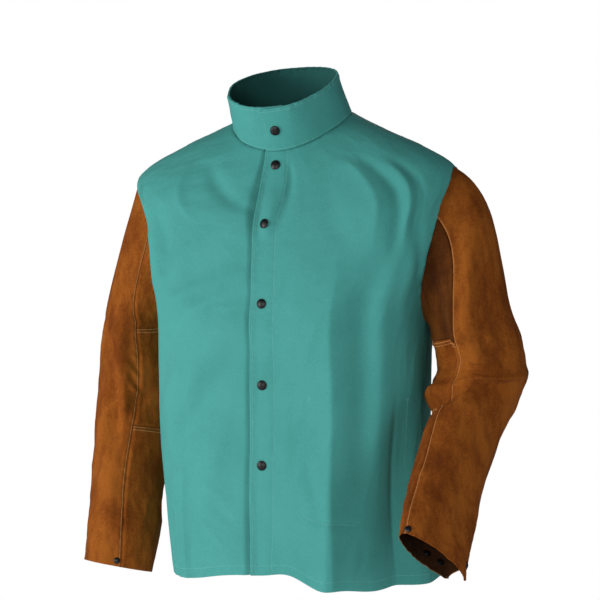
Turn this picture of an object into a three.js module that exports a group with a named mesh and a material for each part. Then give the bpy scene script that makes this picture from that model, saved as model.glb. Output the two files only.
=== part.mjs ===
// A welding jacket: a cotton body with a stand collar and a snap placket, and suede sleeves.
// It has the form it takes when worn and is hollow, so the neck, the hem and both cuffs are open.
// Millimetres, +Z up. The front faces -Y and the wearer's left is +X.
// The origin is the middle of the neck opening, level with the tops of the shoulders.

import * as THREE from "three";

// Turns a row of column names and rows of values into a list of named records.
function table(columns, rows) {
  const names = columns.split(" ");
  return rows.map((row) => Object.fromEntries(names.map((name, i) => [name, row[i]])));
}

// Walls and seams
const COTTON_WALL = 1.6;
const PLACKET_WALL = 2.0;
const COLLAR_WALL = 3.0;
const SUEDE_WALL = 2.0;
const SEAM_GAP = 0.4; // left between neighbouring pieces
const HEM_DEPTH = 16; // height of the folded hem
const HEM_FOLD = 1.2; // what the fold adds to the wall, on its inner side
const SLEEVE_STANDS_OFF = 0.8; // how far the sleeve's edge sits proud of the armhole

// Front closure
const PLACKET_HALF = 18.5; // half the width of the placket
const PLACKET_PROUD = 0.6; // how far the placket stands out from the fronts
const LAP_SINK = 2.6; // how far the right front sinks to pass under the placket
const LAP_EASE = 45; // width over which it sinks
const SNAP_HEIGHTS = [-91, -187, -314, -443, -570];
const SNAP_RADIUS = 7.5;
const SNAP_DOME = 3.4;
const SNAP_SEAT = 0.3; // clearance between a snap and the cloth under it
const SNAP_SEAT_INSIDE = 1.1; // the same on the hollow inner face of a cuff

// Sections of the body and the collar. Each is an oval with its own half-width on the wearer's left and right and its
// own depth before and behind the middle, boxier as square grows. Its height differs at the front, the sides and the
// back, and lean is how fast it falls towards the front as it passes the side. twist turns it about the upright.
const RING_COLUMNS = "name left right front back zFront zSide zBack lean square twist shiftX shiftY";

// Collar: from the neckline up
const COLLAR_RINGS = table(RING_COLUMNS, [
  ["seam", 100, 102, 74, 96, -65, -6, 13, -36, 0, 4, 0, 0],
  ["middle", 94, 98, 77, 92, -34, 24, 52, -42, 0, 7, -3, -15],
  ["top", 93, 93, 80, 88, -3, 50, 88, -45, 0, 8, -6, -28],
]);
const COLLAR_LAP = 12; // degrees that each end runs past the middle of the front
const COLLAR_LAP_RISE = 2.4; // how far each end steps out or in, so that one passes over the other
const COLLAR_SNAP_ROW = 0.95; // about half way up the collar

// Body: from the neckline down to the hem
const BODY_RINGS = table(RING_COLUMNS, [
  ["neckline", 100, 102, 74, 96, -66, -7, 12, -36, 0, 2, 0, 0],
  ["collarbone", 188, 188, 90, 114, -122, -43, -52, -4, 0.2, 1, 0, 0],
  ["shoulder", 280, 278, 113, 132, -182, -95, -122, 0, 0.12, 0, 0, 0],
  ["blade", 280, 256, 121, 144, -240, -165, -184, 0, 0.13, 0, 0, 0],
  ["chest", 260, 242, 125, 150, -298, -242, -250, 0, 0.14, 0, 0, 0],
  ["armpit", 236, 228, 126, 150, -352, -320, -322, 0, 0.14, 0, -1, 0],
  ["waist", 231, 230, 122, 152, -476, -464, -464, 0, 0.12, 1, -4, 0],
  ["hip", 222, 230, 122, 166, -608, -606, -606, 0, 0.1, -1, 4, 0],
  ["hem", 229, 220, 124, 184, -745, -759, -757, 0, 0.08, -3.6, 14, 0],
]);

// Folds: soft ridges, or valleys where the height is negative, from one place on a surface to another, highest half way.
// Angles are in degrees, on the body from the middle of the front and positive to the wearer's left. Rows are those of
// the sections, and a fold whose end lies past the last row runs out over the edge.
const FOLD_COLUMNS = "fromAngle fromRow toAngle toRow width height";
const BODY_FOLDS = table(FOLD_COLUMNS, [
  [37, 3.6, 31, 12, 38, 15],
  [54, 4.6, 56, 11.5, 30, -9],
  [43, 1.6, 51, 4.8, 24, -8],
  [57, 1.8, 58, 5.4, 20, 8],
  [29, 1.6, 37, 5.2, 30, 7],
  [-53, 2.0, -63, 6.0, 30, 11],
  [-40, 1.6, -42, 4.2, 22, -2],
  [-10, 3.2, -66, 6.3, 34, 7],
  [-12, 4.4, -66, 7.2, 30, -7],
  [-45, 5.6, -52, 10.5, 26, 8],
  [116, 3.6, 123, 12, 40, 12],
  [146, 4.2, 151, 12, 36, -9],
  [184, 3.4, 180, 12, 48, 11],
  [214, 4.0, 207, 12, 36, -9],
  [241, 3.6, 240, 12, 40, 11],
]);
const BODY_MM_PER_DEGREE = 3.6;
const BODY_MM_PER_ROW = 105;

// Places where the hem hangs lower, or higher where the drop is negative
const HEM_DIPS = table("angle width drop", [
  [24, 8, 11],
  [42, 15, 11],
  [10, 7, -6],
  [-38, 19, 11],
]);

// Armholes: an oval on the body round the angle of each side
const ARMHOLE_TOP_ROW = 2.0;
const ARMHOLE_FOOT_ROW = 5.15;

// Sleeves: sections along each arm, square to its middle line. thin and wide are the half-widths of the oval, and roll
// turns its wide way from the front towards the body. slant makes one end of its wide way longer than the other. front and
// back are the angles of the two long seams. The armhole is the section before the first row. Angles run round the arm
// from its outer side, positive to the front.
const SLEEVE_COLUMNS = "name x y z thin wide roll slant front back";
const LEFT_RINGS = table(SLEEVE_COLUMNS, [
  ["upper", 305, 16, -350, 66, 82, 0, 0, 94, -88],
  ["above_elbow", 315, 26, -402, 69, 79, 0, 0, 96, -88],
  ["elbow", 314, 20, -448, 63, 73, 6, 0, 104, -84],
  ["below_elbow", 300, -22, -512, 50, 68, 18, 0, 111, -74],
  ["forearm", 291, -80, -588, 45, 64, 28, 2, 110, -59],
  ["wrist", 290, -128, -649, 35, 65, 34, 8, 112, -47],
  ["cuff", 291, -161, -693, 27, 63, 37, 12, 115, -40],
]);
const RIGHT_RINGS = table(SLEEVE_COLUMNS, [
  ["upper", 292, 24, -335, 56, 84, 0, 0, 120, -88],
  ["above_elbow", 302, 30, -405, 61, 80, 0, 0, 125, -88],
  ["elbow", 308, 30, -475, 66, 76, 0, 0, 125, -88],
  ["below_elbow", 310, 18, -550, 66, 72, 0, 0, 120, -88],
  ["forearm", 308, -2, -626, 63, 68, 12, 0, 116, -88],
  ["wrist", 303, -24, -700, 63, 66, 34, -2, 116, -88],
  ["cuff", 304, -42, -762, 58, 63, 54, -7, 121, -88],
]);
const LEFT_SLEEVE_FOLDS = table(FOLD_COLUMNS, [
  [186, 4.05, 80, 3.5, 15, -19],
  [196, 3.55, 118, 3.42, 16, 17],
  [204, 3.0, 126, 3.0, 26, 9],
  [88, 3.45, -4, 3.0, 15, -8],
  [28, 0.2, 54, 2.6, 24, -7],
  [65, 0.3, 79, 2.9, 22, 8],
  [128, 0.5, 116, 2.5, 20, -8],
  [42, 3.7, 16, 7, 22, -5],
  [-52, 2.5, -128, 3.5, 22, 8],
  [20, 2.48, -66, 2.62, 18, 7],
]);
const RIGHT_SLEEVE_FOLDS = table(FOLD_COLUMNS, [
  [59, 0.8, 67, 4.0, 22, -7],
  [92, 0.6, 98, 3.5, 18, 7],
  [156, 2.95, 100, 3.3, 16, -9],
  [38, 3.4, 64, 6.2, 20, -5],
  [-64, 2.1, -126, 3.3, 24, 8],
  [97, 4.0, 83, 7.4, 20, 5],
]);
const SLEEVE_MM_PER_DEGREE = 1.25;
const SLEEVE_MM_PER_ROW = 65;

// Cuff snaps: which long seam each lies beside, how many degrees from it, how far up from the cuff's edge, and whether
// it shows on the inner face
const CUFF_SNAP_COLUMNS = "seam away up inside";
const LEFT_CUFF_SNAPS = table(CUFF_SNAP_COLUMNS, [
  ["front", -10, 9, false],
  ["back", 12, 26, false],
  ["back", -70, 24, true],
  ["back", -94, 24, true],
]);
const RIGHT_CUFF_SNAPS = table(CUFF_SNAP_COLUMNS, [
  ["front", -7, 9, false],
  ["back", 14, 24, false],
  ["back", -30, 24, true],
  ["back", -52, 24, true],
]);

// What differs between the two sides: how many degrees the armhole reaches before and behind the side, how steeply
// outwards, against one down, the sleeve leaves it at its top and its foot, and how many degrees the under panel stops
// short of the back seam at the cuff, which leaves a vent
const SIDES = [
  {
    name: "left", sign: 1, rings: LEFT_RINGS, folds: LEFT_SLEEVE_FOLDS, cuffSnaps: LEFT_CUFF_SNAPS,
    before: 21, behind: 32, topOut: 2.0, footOut: 0.7, vent: 54,
  },
  {
    name: "right", sign: -1, rings: RIGHT_RINGS, folds: RIGHT_SLEEVE_FOLDS, cuffSnaps: RIGHT_CUFF_SNAPS,
    before: 22, behind: 36, topOut: 0.3, footOut: 0.6, vent: 14,
  },
];

// Sleeve seams
const SEAMS_AT_ARMHOLE = { front: 72, back: -88 };
const UPPER_CROSS_SEAM = 1.15; // rows of the sleeve, counted from the armhole
const LOWER_CROSS_SEAM = 3.75;
const CUFF_VENT_ROWS = 0.8;
const CUFF_SNAP_RADIUS = 5.5;
const CUFF_SNAP_DOME = 2.8;

// Mesh density
const ROUND_SIDES = 12;
const FRONT_COLUMNS = 10;
const BACK_COLUMNS = 22;
const PLACKET_COLUMNS = 2;
const COLLAR_COLUMNS = 40;
const COLLAR_STEPS = 3;
const TOP_SLEEVE_COLUMNS = 12;
const UNDER_SLEEVE_COLUMNS = 9;
const YOKE_STEPS = 5;
const ARMHOLE_STEPS = 12;
const SKIRT_STEPS = 7;
const CAP_STEPS = 6;
const ARM_STEPS_PER_ROW = 2.5;

const RAD = Math.PI / 180;
const PROBE = 1e-3; // step for measuring a surface's slope
const LAST_BODY_ROW = BODY_RINGS.length - 1;

const MATERIALS = {
  cotton: new THREE.MeshStandardMaterial({ color: 0x4f9d96, roughness: 0.85, metalness: 0 }),
  suede: new THREE.MeshStandardMaterial({ color: 0x84491a, roughness: 0.95, metalness: 0 }),
  snap: new THREE.MeshStandardMaterial({ color: 0x1c191b, roughness: 0.3, metalness: 0.8 }),
};

// Reads every column of a table at a row number that may be a fraction, on a smooth curve through the rows.
function rowAt(rows, row) {
  const last = rows.length - 1;
  const k = THREE.MathUtils.clamp(Math.floor(row), 0, last - 1);
  const t = row - k;
  const columns = Object.keys(rows[0]).filter((column) => column !== "name");
  const before = rows[k - 1];
  const after = rows[k + 2];
  return Object.fromEntries(
    columns.map((column) => {
      const b = rows[k][column];
      const c = rows[k + 1][column];
      const a = before ? before[column] : 2 * b - c;
      const d = after ? after[column] : 2 * c - b;
      const value = b + 0.5 * t * (c - a + t * (2 * a - 5 * b + 4 * c - d + t * (3 * (b - c) + d - a)));
      return [column, value];
    }),
  );
}

// Height of a set of folds at one place, in millimetres along the surface's normal.
function foldHeight(folds, angle, row, mmPerDegree, mmPerRow) {
  let height = 0;
  for (const fold of folds) {
    const run = new THREE.Vector2((fold.toAngle - fold.fromAngle) * mmPerDegree, (fold.toRow - fold.fromRow) * mmPerRow);
    const here = new THREE.Vector2((angle - fold.fromAngle) * mmPerDegree, (row - fold.fromRow) * mmPerRow);
    const along = THREE.MathUtils.clamp(here.dot(run) / run.lengthSq(), 0, 1);
    const off = here.addScaledVector(run, -along).length();
    height += fold.height * Math.sin(Math.PI * along) * Math.exp(-((off / fold.width) ** 2));
  }
  return height;
}

// Unit normal of a surface at (u, v). side is 1 where u cross v points out of the garment, or -1.
function normalAt(surface, u, v, side) {
  const alongU = surface(u + PROBE, v).sub(surface(u - PROBE, v));
  const alongV = surface(u, v + PROBE).sub(surface(u, v - PROBE));
  return alongU.cross(alongV).normalize().multiplyScalar(side);
}

// A surface pushed out along another's normal by a height that depends on the place.
function raised(surface, side, heightAt) {
  return (u, v) => surface(u, v).addScaledVector(normalAt(surface, u, v, side), heightAt(u, v));
}

// A closed wall: its outer face follows the surface at a grid of places, its inner face lies thickness(u, v) inside.
function wall(surface, side, grid, thickness) {
  const rows = grid.length;
  const columns = grid[0].length;
  const outer = grid.map((line) => line.map(([u, v]) => surface(u, v)));
  const inner = grid.map((line, j) =>
    line.map(([u, v], i) => outer[j][i].clone().addScaledVector(normalAt(surface, u, v, side), -thickness(u, v))),
  );
  const positions = [...outer.flat(), ...inner.flat()].flatMap((point) => point.toArray());
  const index = [];
  const at = (layer, j, i) => (layer * rows + j) * columns + i;
  const quad = (a, b, c, d) => index.push(a, b, c, a, c, d);
  for (let j = 0; j < rows - 1; j++) {
    for (let i = 0; i < columns - 1; i++) {
      quad(at(0, j, i), at(0, j + 1, i), at(0, j + 1, i + 1), at(0, j, i + 1));
      quad(at(1, j, i), at(1, j, i + 1), at(1, j + 1, i + 1), at(1, j + 1, i));
    }
    quad(at(0, j, 0), at(1, j, 0), at(1, j + 1, 0), at(0, j + 1, 0));
    quad(at(0, j, columns - 1), at(0, j + 1, columns - 1), at(1, j + 1, columns - 1), at(1, j, columns - 1));
  }
  for (let i = 0; i < columns - 1; i++) {
    quad(at(0, 0, i), at(0, 0, i + 1), at(1, 0, i + 1), at(1, 0, i));
    quad(at(0, rows - 1, i), at(1, rows - 1, i), at(1, rows - 1, i + 1), at(0, rows - 1, i + 1));
  }
  if (side > 0) index.reverse();
  const geometry = new THREE.BufferGeometry();
  geometry.setAttribute("position", new THREE.Float32BufferAttribute(positions, 3));
  geometry.setIndex(index);
  geometry.computeVertexNormals();
  return geometry;
}

// Evenly spaced values from start to end.
function spread(start, end, steps) {
  return Array.from({ length: steps + 1 }, (_, i) => THREE.MathUtils.lerp(start, end, i / steps));
}

// Point of an oval section at an angle from the middle of the front.
function ovalPoint(ring, angle) {
  const turn = (angle + ring.twist) * RAD;
  const s = Math.sin(turn);
  const c = Math.cos(turn);
  const half = s > 0 ? ring.left : ring.right;
  const depth = c > 0 ? ring.front : ring.back;
  const rise = (c > 0 ? ring.zFront : ring.zBack) - ring.zSide;
  return new THREE.Vector3(
    ring.shiftX + half * s * (1 + ring.square * c * c),
    ring.shiftY - depth * c * (1 + ring.square * s * s),
    ring.zSide + ring.lean * c + (rise - ring.lean * Math.sign(c)) * c * c,
  );
}

// How far the hem hangs below its section at a place on the body.
function hemDrop(angle, row) {
  const share = THREE.MathUtils.smoothstep(row, LAST_BODY_ROW - 2, LAST_BODY_ROW);
  return share * HEM_DIPS.reduce((sum, dip) => sum + dip.drop * Math.exp(-(((angle - dip.angle) / dip.width) ** 2)), 0);
}

// The body's surface over (angle, row): the plain oval form, then with its folds.
const BODY_SIDE = -1;
const bodyForm = (angle, row) => {
  const point = ovalPoint(rowAt(BODY_RINGS, row), angle);
  point.z -= hemDrop(angle, row);
  return point;
};
const bodyFolds = (angle, row) => {
  const turn = angle < -90 ? angle + 360 : angle;
  return foldHeight(BODY_FOLDS, turn, row, BODY_MM_PER_DEGREE, BODY_MM_PER_ROW);
};
const bodySurface = raised(bodyForm, BODY_SIDE, bodyFolds);

// Angle at a row that lies a given distance across from the middle of the front.
function angleAcross(distance, row) {
  return distance / rowAt(BODY_RINGS, row).left / RAD;
}

// Row of the body at which a line down the front reaches a height.
function bodyRowAtHeight(angle, height) {
  let low = 0;
  let high = LAST_BODY_ROW;
  while (high - low > PROBE) {
    const middle = (low + high) / 2;
    if (bodySurface(angle, middle).z > height) low = middle;
    else high = middle;
  }
  return low;
}

// The rings' twist turns the cloth round the body, while the sides and armholes keep their places.
function twistAt(row) {
  return rowAt(BODY_RINGS, row).twist;
}

// Rows of the panels: even over the shoulder and the skirt, and bunched at the top and the foot of the armhole.
const ARMHOLE_MIDDLE = (ARMHOLE_TOP_ROW + ARMHOLE_FOOT_ROW) / 2;
const ARMHOLE_HALF = (ARMHOLE_FOOT_ROW - ARMHOLE_TOP_ROW) / 2;
const HEM_ROW = LAST_BODY_ROW - HEM_DEPTH / (BODY_RINGS.at(-2).zSide - BODY_RINGS.at(-1).zSide);
const PANEL_ROWS = [
  ...spread(0, ARMHOLE_TOP_ROW, YOKE_STEPS).slice(0, -1),
  ...spread(0, 180, ARMHOLE_STEPS).map((turn) => ARMHOLE_MIDDLE - ARMHOLE_HALF * Math.cos(turn * RAD)),
  ...spread(ARMHOLE_FOOT_ROW, HEM_ROW, SKIRT_STEPS).slice(1),
  HEM_ROW + 0.02,
  LAST_BODY_ROW,
];

// How far an armhole cuts in from the side at a row, in degrees, where span is its greatest reach.
function armholeCut(row, span) {
  const share = THREE.MathUtils.clamp(1 - ((row - ARMHOLE_MIDDLE) / ARMHOLE_HALF) ** 2, 0, 1);
  return span * Math.sqrt(share);
}

// Half a seam's gap at the side, as an angle.
function sideSeamAngle(row, depth) {
  return SEAM_GAP / 2 / rowAt(BODY_RINGS, row)[depth] / RAD;
}

const cottonWall = (angle, row) => COTTON_WALL + (row > HEM_ROW ? HEM_FOLD : 0);

// A front panel's grid, from its edge, which lies a distance across from the middle, to the side. The columns near the
// side bend round the armhole.
function frontGrid({ sign, before }, edge) {
  return PANEL_ROWS.map((row) => {
    const start = angleAcross(edge, row);
    const side = sign * (90 - sideSeamAngle(row, "front")) - twistAt(row);
    const cut = sign * armholeCut(row, before);
    return spread(0, 1, FRONT_COLUMNS).map((t) => [THREE.MathUtils.lerp(start, side, t) - cut * t * t, row]);
  });
}

// The right front sinks towards its edge, so that the placket lies over it.
function lapSink(angle, row) {
  const across = rowAt(BODY_RINGS, row).left * angle * RAD;
  return -LAP_SINK * THREE.MathUtils.smoothstep(across, -PLACKET_HALF - LAP_EASE, -PLACKET_HALF);
}

function frontPanels() {
  const [left, right] = SIDES;
  const lapped = raised(bodySurface, BODY_SIDE, lapSink);
  const rightGrid = frontGrid(right, PLACKET_HALF - SEAM_GAP).map((line) => line.toReversed());
  return {
    front_left: wall(bodySurface, BODY_SIDE, frontGrid(left, PLACKET_HALF + SEAM_GAP), cottonWall),
    front_right: wall(lapped, BODY_SIDE, rightGrid, cottonWall),
  };
}

function backPanel() {
  const [left, right] = SIDES;
  const grid = PANEL_ROWS.map((row) => {
    const side = 90 - sideSeamAngle(row, "back");
    return spread(-1, 1, BACK_COLUMNS).map((t) => {
      const cut = armholeCut(row, t < 0 ? left.behind : right.behind);
      return [180 - twistAt(row) + side * t - cut * t * Math.abs(t), row];
    });
  });
  return wall(bodySurface, BODY_SIDE, grid, cottonWall);
}

const placketSurface = raised(bodySurface, BODY_SIDE, () => PLACKET_PROUD);

function placket() {
  const grid = PANEL_ROWS.map((row) => {
    const half = angleAcross(PLACKET_HALF, row);
    return spread(-half, half, PLACKET_COLUMNS).map((angle) => [angle, row]);
  });
  return wall(placketSurface, BODY_SIDE, grid, () => PLACKET_WALL);
}

// The collar's surface: angle runs from the outer end, past the left side and the back, to the end that lies under.
const COLLAR_SIDE = 1;
const collarForm = (angle, row) => ovalPoint(rowAt(COLLAR_RINGS, row), angle);
const collarSurface = raised(collarForm, COLLAR_SIDE, (angle) => {
  const over = 1 - THREE.MathUtils.smoothstep(angle, COLLAR_LAP, 5 * COLLAR_LAP);
  const under = THREE.MathUtils.smoothstep(angle, 360 - 5 * COLLAR_LAP, 360 - COLLAR_LAP);
  return COLLAR_LAP_RISE * (over - under);
});

function collar() {
  const angles = spread(-COLLAR_LAP, 360 + COLLAR_LAP, COLLAR_COLUMNS);
  const rows = spread(0, COLLAR_RINGS.length - 1, COLLAR_STEPS);
  const grid = rows.map((row) => angles.map((angle) => [angle, row]));
  return wall(collarSurface, COLLAR_SIDE, grid, () => COLLAR_WALL);
}

// One sleeve. Its surface is over (angle, row), where row 0 is the armhole.
class Sleeve {
  constructor(side) {
    Object.assign(this, side);
    this.lastRow = this.rings.length;
    this.middle = new THREE.CatmullRomCurve3(this.rings.map((ring) => this.centre(ring)));
    this.surface = raised(
      (angle, row) => this.form(angle, row),
      this.sign,
      (angle, row) => this.folded(angle, row),
    );
    this.lining = raised(this.surface, this.sign, () => -SUEDE_WALL);
  }

  centre(ring) {
    return new THREE.Vector3(this.sign * ring.x, ring.y, ring.z);
  }

  folded(angle, row) {
    const turn = angle > 255 ? angle - 360 : angle;
    return foldHeight(this.folds, turn, row, SLEEVE_MM_PER_DEGREE, SLEEVE_MM_PER_ROW);
  }

  // Corner of the armhole's edge on the body's panels, stepped off it into the hole and outwards.
  armholeCorner(turn) {
    const at = (angle) => {
      const s = Math.sin(angle * RAD);
      const row = ARMHOLE_MIDDLE - ARMHOLE_HALF * Math.cos(angle * RAD);
      return [this.sign * (90 - (s > 0 ? this.before : this.behind) * s) - twistAt(row), row];
    };
    const point = bodySurface(...at(turn));
    const outward = normalAt(bodyForm, ...at(turn), BODY_SIDE);
    const along = bodySurface(...at(turn + PROBE)).sub(bodySurface(...at(turn - PROBE))).normalize();
    const intoHole = along.cross(outward).multiplyScalar(-this.sign);
    return point.addScaledVector(outward, SLEEVE_STANDS_OFF).addScaledVector(intoHole, SEAM_GAP);
  }

  // Point of the armhole: angle 0 is its top and 90 its front. The edge runs straight from corner to corner.
  armholePoint(angle) {
    const step = 180 / ARMHOLE_STEPS;
    const k = Math.floor(angle / step);
    return this.armholeCorner(k * step).lerp(this.armholeCorner((k + 1) * step), angle / step - k);
  }

  // Point of the section at a whole row, square to the arm's middle line.
  sectionPoint(row, angle) {
    if (row === 0) return this.armholePoint(angle);
    const ring = this.rings[row - 1];
    const along = this.middle.getTangent((row - 1) / (this.rings.length - 1));
    const out = new THREE.Vector3(this.sign, 0, 0).projectOnPlane(along).normalize();
    const front = new THREE.Vector3(0, -1, 0).projectOnPlane(along).projectOnPlane(out).normalize();
    const roll = ring.roll * RAD;
    const round = angle * RAD - roll;
    const thinWay = out.clone().multiplyScalar(Math.cos(roll)).addScaledVector(front, Math.sin(roll));
    const wideWay = front.clone().multiplyScalar(Math.cos(roll)).addScaledVector(out, -Math.sin(roll));
    return this.centre(ring)
      .addScaledVector(thinWay, ring.thin * Math.cos(round))
      .addScaledVector(wideWay, ring.wide * Math.sin(round))
      .addScaledVector(along, -ring.slant * Math.sin(round));
  }

  // Direction in which the sleeve runs at a whole row.
  heading(row, angle) {
    if (row === 0) {
      const out = THREE.MathUtils.lerp(this.footOut, this.topOut, 0.5 + 0.5 * Math.cos(angle * RAD));
      return new THREE.Vector3(this.sign * out, 0, -1).normalize();
    }
    const here = this.sectionPoint(row, angle);
    const arriving = here.clone().sub(this.sectionPoint(row - 1, angle)).normalize();
    if (row === this.lastRow) return arriving;
    return arriving.add(this.sectionPoint(row + 1, angle).sub(here).normalize()).normalize();
  }

  // A smooth curve from section to section at a fixed angle.
  form(angle, row) {
    const k = THREE.MathUtils.clamp(Math.floor(row), 0, this.lastRow - 1);
    const start = this.sectionPoint(k, angle);
    const end = this.sectionPoint(k + 1, angle);
    const pull = start.distanceTo(end) / 3;
    const curve = new THREE.CubicBezierCurve3(
      start,
      start.clone().addScaledVector(this.heading(k, angle), pull),
      end.clone().addScaledVector(this.heading(k + 1, angle), -pull),
      end,
    );
    return curve.getPoint(row - k);
  }

  // Angle of a long seam, front or back, at a row.
  seam(which, row) {
    if (row < 1) return THREE.MathUtils.lerp(SEAMS_AT_ARMHOLE[which], this.rings[0][which], row);
    return rowAt(this.rings, row - 1)[which];
  }

  // How far the vent has opened at a row, as an angle.
  ventAngle(row) {
    return this.vent * THREE.MathUtils.smoothstep(row, this.lastRow - CUFF_VENT_ROWS, this.lastRow);
  }

  panel(rows, startAt, endAt, columns) {
    const grid = rows.map((row) => spread(startAt(row), endAt(row), columns).map((angle) => [angle, row]));
    return wall(this.surface, this.sign, grid, () => SUEDE_WALL);
  }

  panels() {
    const nudge = SEAM_GAP / 2 / SLEEVE_MM_PER_ROW;
    const arm = (start, end) => spread(start, end, Math.ceil((end - start) * ARM_STEPS_PER_ROW));
    const upper = [...spread(0, 1, CAP_STEPS), UPPER_CROSS_SEAM];
    const elbow = arm(UPPER_CROSS_SEAM, LOWER_CROSS_SEAM);
    const lower = arm(LOWER_CROSS_SEAM, this.lastRow);
    const halfGap = SEAM_GAP / 2 / SLEEVE_MM_PER_DEGREE;
    const back = (row) => this.seam("back", row) + halfGap;
    const front = (row) => this.seam("front", row) - halfGap;
    const underFront = (row) => this.seam("front", row) + halfGap;
    const underBack = (row) => 360 + this.seam("back", row) - halfGap - this.ventAngle(row);
    const under = (rows) => this.panel(rows, underFront, underBack, UNDER_SLEEVE_COLUMNS);
    return {
      top: this.panel([...upper, ...elbow.slice(1), ...lower.slice(1)], back, front, TOP_SLEEVE_COLUMNS),
      under_upper: under([...upper.slice(0, -1), UPPER_CROSS_SEAM - nudge]),
      under_elbow: under([UPPER_CROSS_SEAM + nudge, ...elbow.slice(1, -1), LOWER_CROSS_SEAM - nudge]),
      under_lower: under([LOWER_CROSS_SEAM + nudge, ...lower.slice(1)]),
    };
  }
}

// A domed snap cap whose flat back is at its origin and whose dome points along +Y.
function snapCap(radius, dome) {
  const profile = [
    new THREE.Vector2(0, 0),
    new THREE.Vector2(0.94 * radius, 0),
    new THREE.Vector2(radius, 0.4 * dome),
    new THREE.Vector2(0.62 * radius, 0.88 * dome),
    new THREE.Vector2(0, dome),
  ];
  return new THREE.LatheGeometry(profile, ROUND_SIDES);
}

// Seats a snap on a surface, pointing along its normal and standing off it.
function seatSnap(mesh, surface, side, [u, v], seat) {
  const normal = normalAt(surface, u, v, side);
  mesh.position.copy(surface(u, v)).addScaledVector(normal, seat);
  mesh.quaternion.setFromUnitVectors(new THREE.Vector3(0, 1, 0), normal);
}

const jacket = new THREE.Group();

function add(name, geometry, material) {
  const mesh = new THREE.Mesh(geometry, material);
  mesh.name = name;
  jacket.add(mesh);
  return mesh;
}

const cottonPieces = { ...frontPanels(), back: backPanel(), placket: placket(), collar: collar() };
for (const [name, geometry] of Object.entries(cottonPieces)) add(name, geometry, MATERIALS.cotton);

const collarSnap = add("snap_collar", snapCap(SNAP_RADIUS, SNAP_DOME), MATERIALS.snap);
seatSnap(collarSnap, collarSurface, COLLAR_SIDE, [0, COLLAR_SNAP_ROW], SNAP_SEAT);
SNAP_HEIGHTS.forEach((height, i) => {
  const snap = add(`snap_front_${i + 1}`, snapCap(SNAP_RADIUS, SNAP_DOME), MATERIALS.snap);
  seatSnap(snap, placketSurface, BODY_SIDE, [0, bodyRowAtHeight(0, height)], SNAP_SEAT);
});

for (const side of SIDES) {
  const sleeve = new Sleeve(side);
  for (const [name, geometry] of Object.entries(sleeve.panels())) {
    add(`sleeve_${side.name}_${name}`, geometry, MATERIALS.suede);
  }
  sleeve.cuffSnaps.forEach(({ seam, away, up, inside }, i) => {
    const snap = add(`snap_cuff_${side.name}_${i + 1}`, snapCap(CUFF_SNAP_RADIUS, CUFF_SNAP_DOME), MATERIALS.snap);
    const row = sleeve.lastRow - up / SLEEVE_MM_PER_ROW;
    const angle = away + sleeve.seam(seam, row);
    if (inside) seatSnap(snap, sleeve.lining, -sleeve.sign, [angle + 360, row], SNAP_SEAT_INSIDE);
    else seatSnap(snap, sleeve.surface, sleeve.sign, [angle, row], SNAP_SEAT);
  });
}

export default jacket;
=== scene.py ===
"""A welding jacket in the form it takes when worn.

The body is woven cotton with a stand collar and a placket of black snaps. The sleeves are napped suede,
sewn with pale thread and cut raw at the cuffs. Sizes are millimetres in the tables and metres in the meshes.
"""

import logging
import math
from collections.abc import Callable
from dataclasses import dataclass, field
from enum import Enum

import bpy
import numpy as np
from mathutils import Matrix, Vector


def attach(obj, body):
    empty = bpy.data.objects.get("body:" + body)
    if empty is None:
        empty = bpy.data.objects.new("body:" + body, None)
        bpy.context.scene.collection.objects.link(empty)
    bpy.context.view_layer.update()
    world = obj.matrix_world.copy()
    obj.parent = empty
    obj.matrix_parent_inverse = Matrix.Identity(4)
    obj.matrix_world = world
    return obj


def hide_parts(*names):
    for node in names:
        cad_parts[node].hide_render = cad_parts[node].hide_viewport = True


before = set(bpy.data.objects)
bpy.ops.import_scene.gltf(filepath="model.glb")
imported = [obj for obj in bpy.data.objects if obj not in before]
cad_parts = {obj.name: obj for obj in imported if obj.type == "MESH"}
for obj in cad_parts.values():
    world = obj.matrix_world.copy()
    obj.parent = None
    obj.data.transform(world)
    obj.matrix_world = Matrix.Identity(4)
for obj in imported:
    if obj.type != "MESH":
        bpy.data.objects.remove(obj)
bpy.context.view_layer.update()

LOG = logging.getLogger("jacket")
Array = np.ndarray
Seat = tuple[Array, Array]  # points and normals
Colour = tuple[float, float, float]
Socket = bpy.types.NodeSocket
MM = 0.001
PROBE = 1e-3  # step for measuring a surface's slope
ROOT = "root"


class Slot(Enum):
    """Material slots of the record."""

    COTTON = "cotton"
    SUEDE = "suede"
    SNAP = "snap"


class Edge(Enum):
    """Sides of a panel's grid of places."""

    START = "start"
    END = "end"
    TOP = "top"
    FOOT = "foot"


class EdgeKind(Enum):
    """Ways in which the edge of a panel is finished."""

    FOLDED = "folded"
    SEWN = "sewn"
    FLUSH = "flush"
    RAW = "raw"


class SnapKind(Enum):
    """Halves of a snap fastener that can show."""

    CAP = "cap"
    STUD = "stud"


# Numbers that depend on a place


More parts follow.
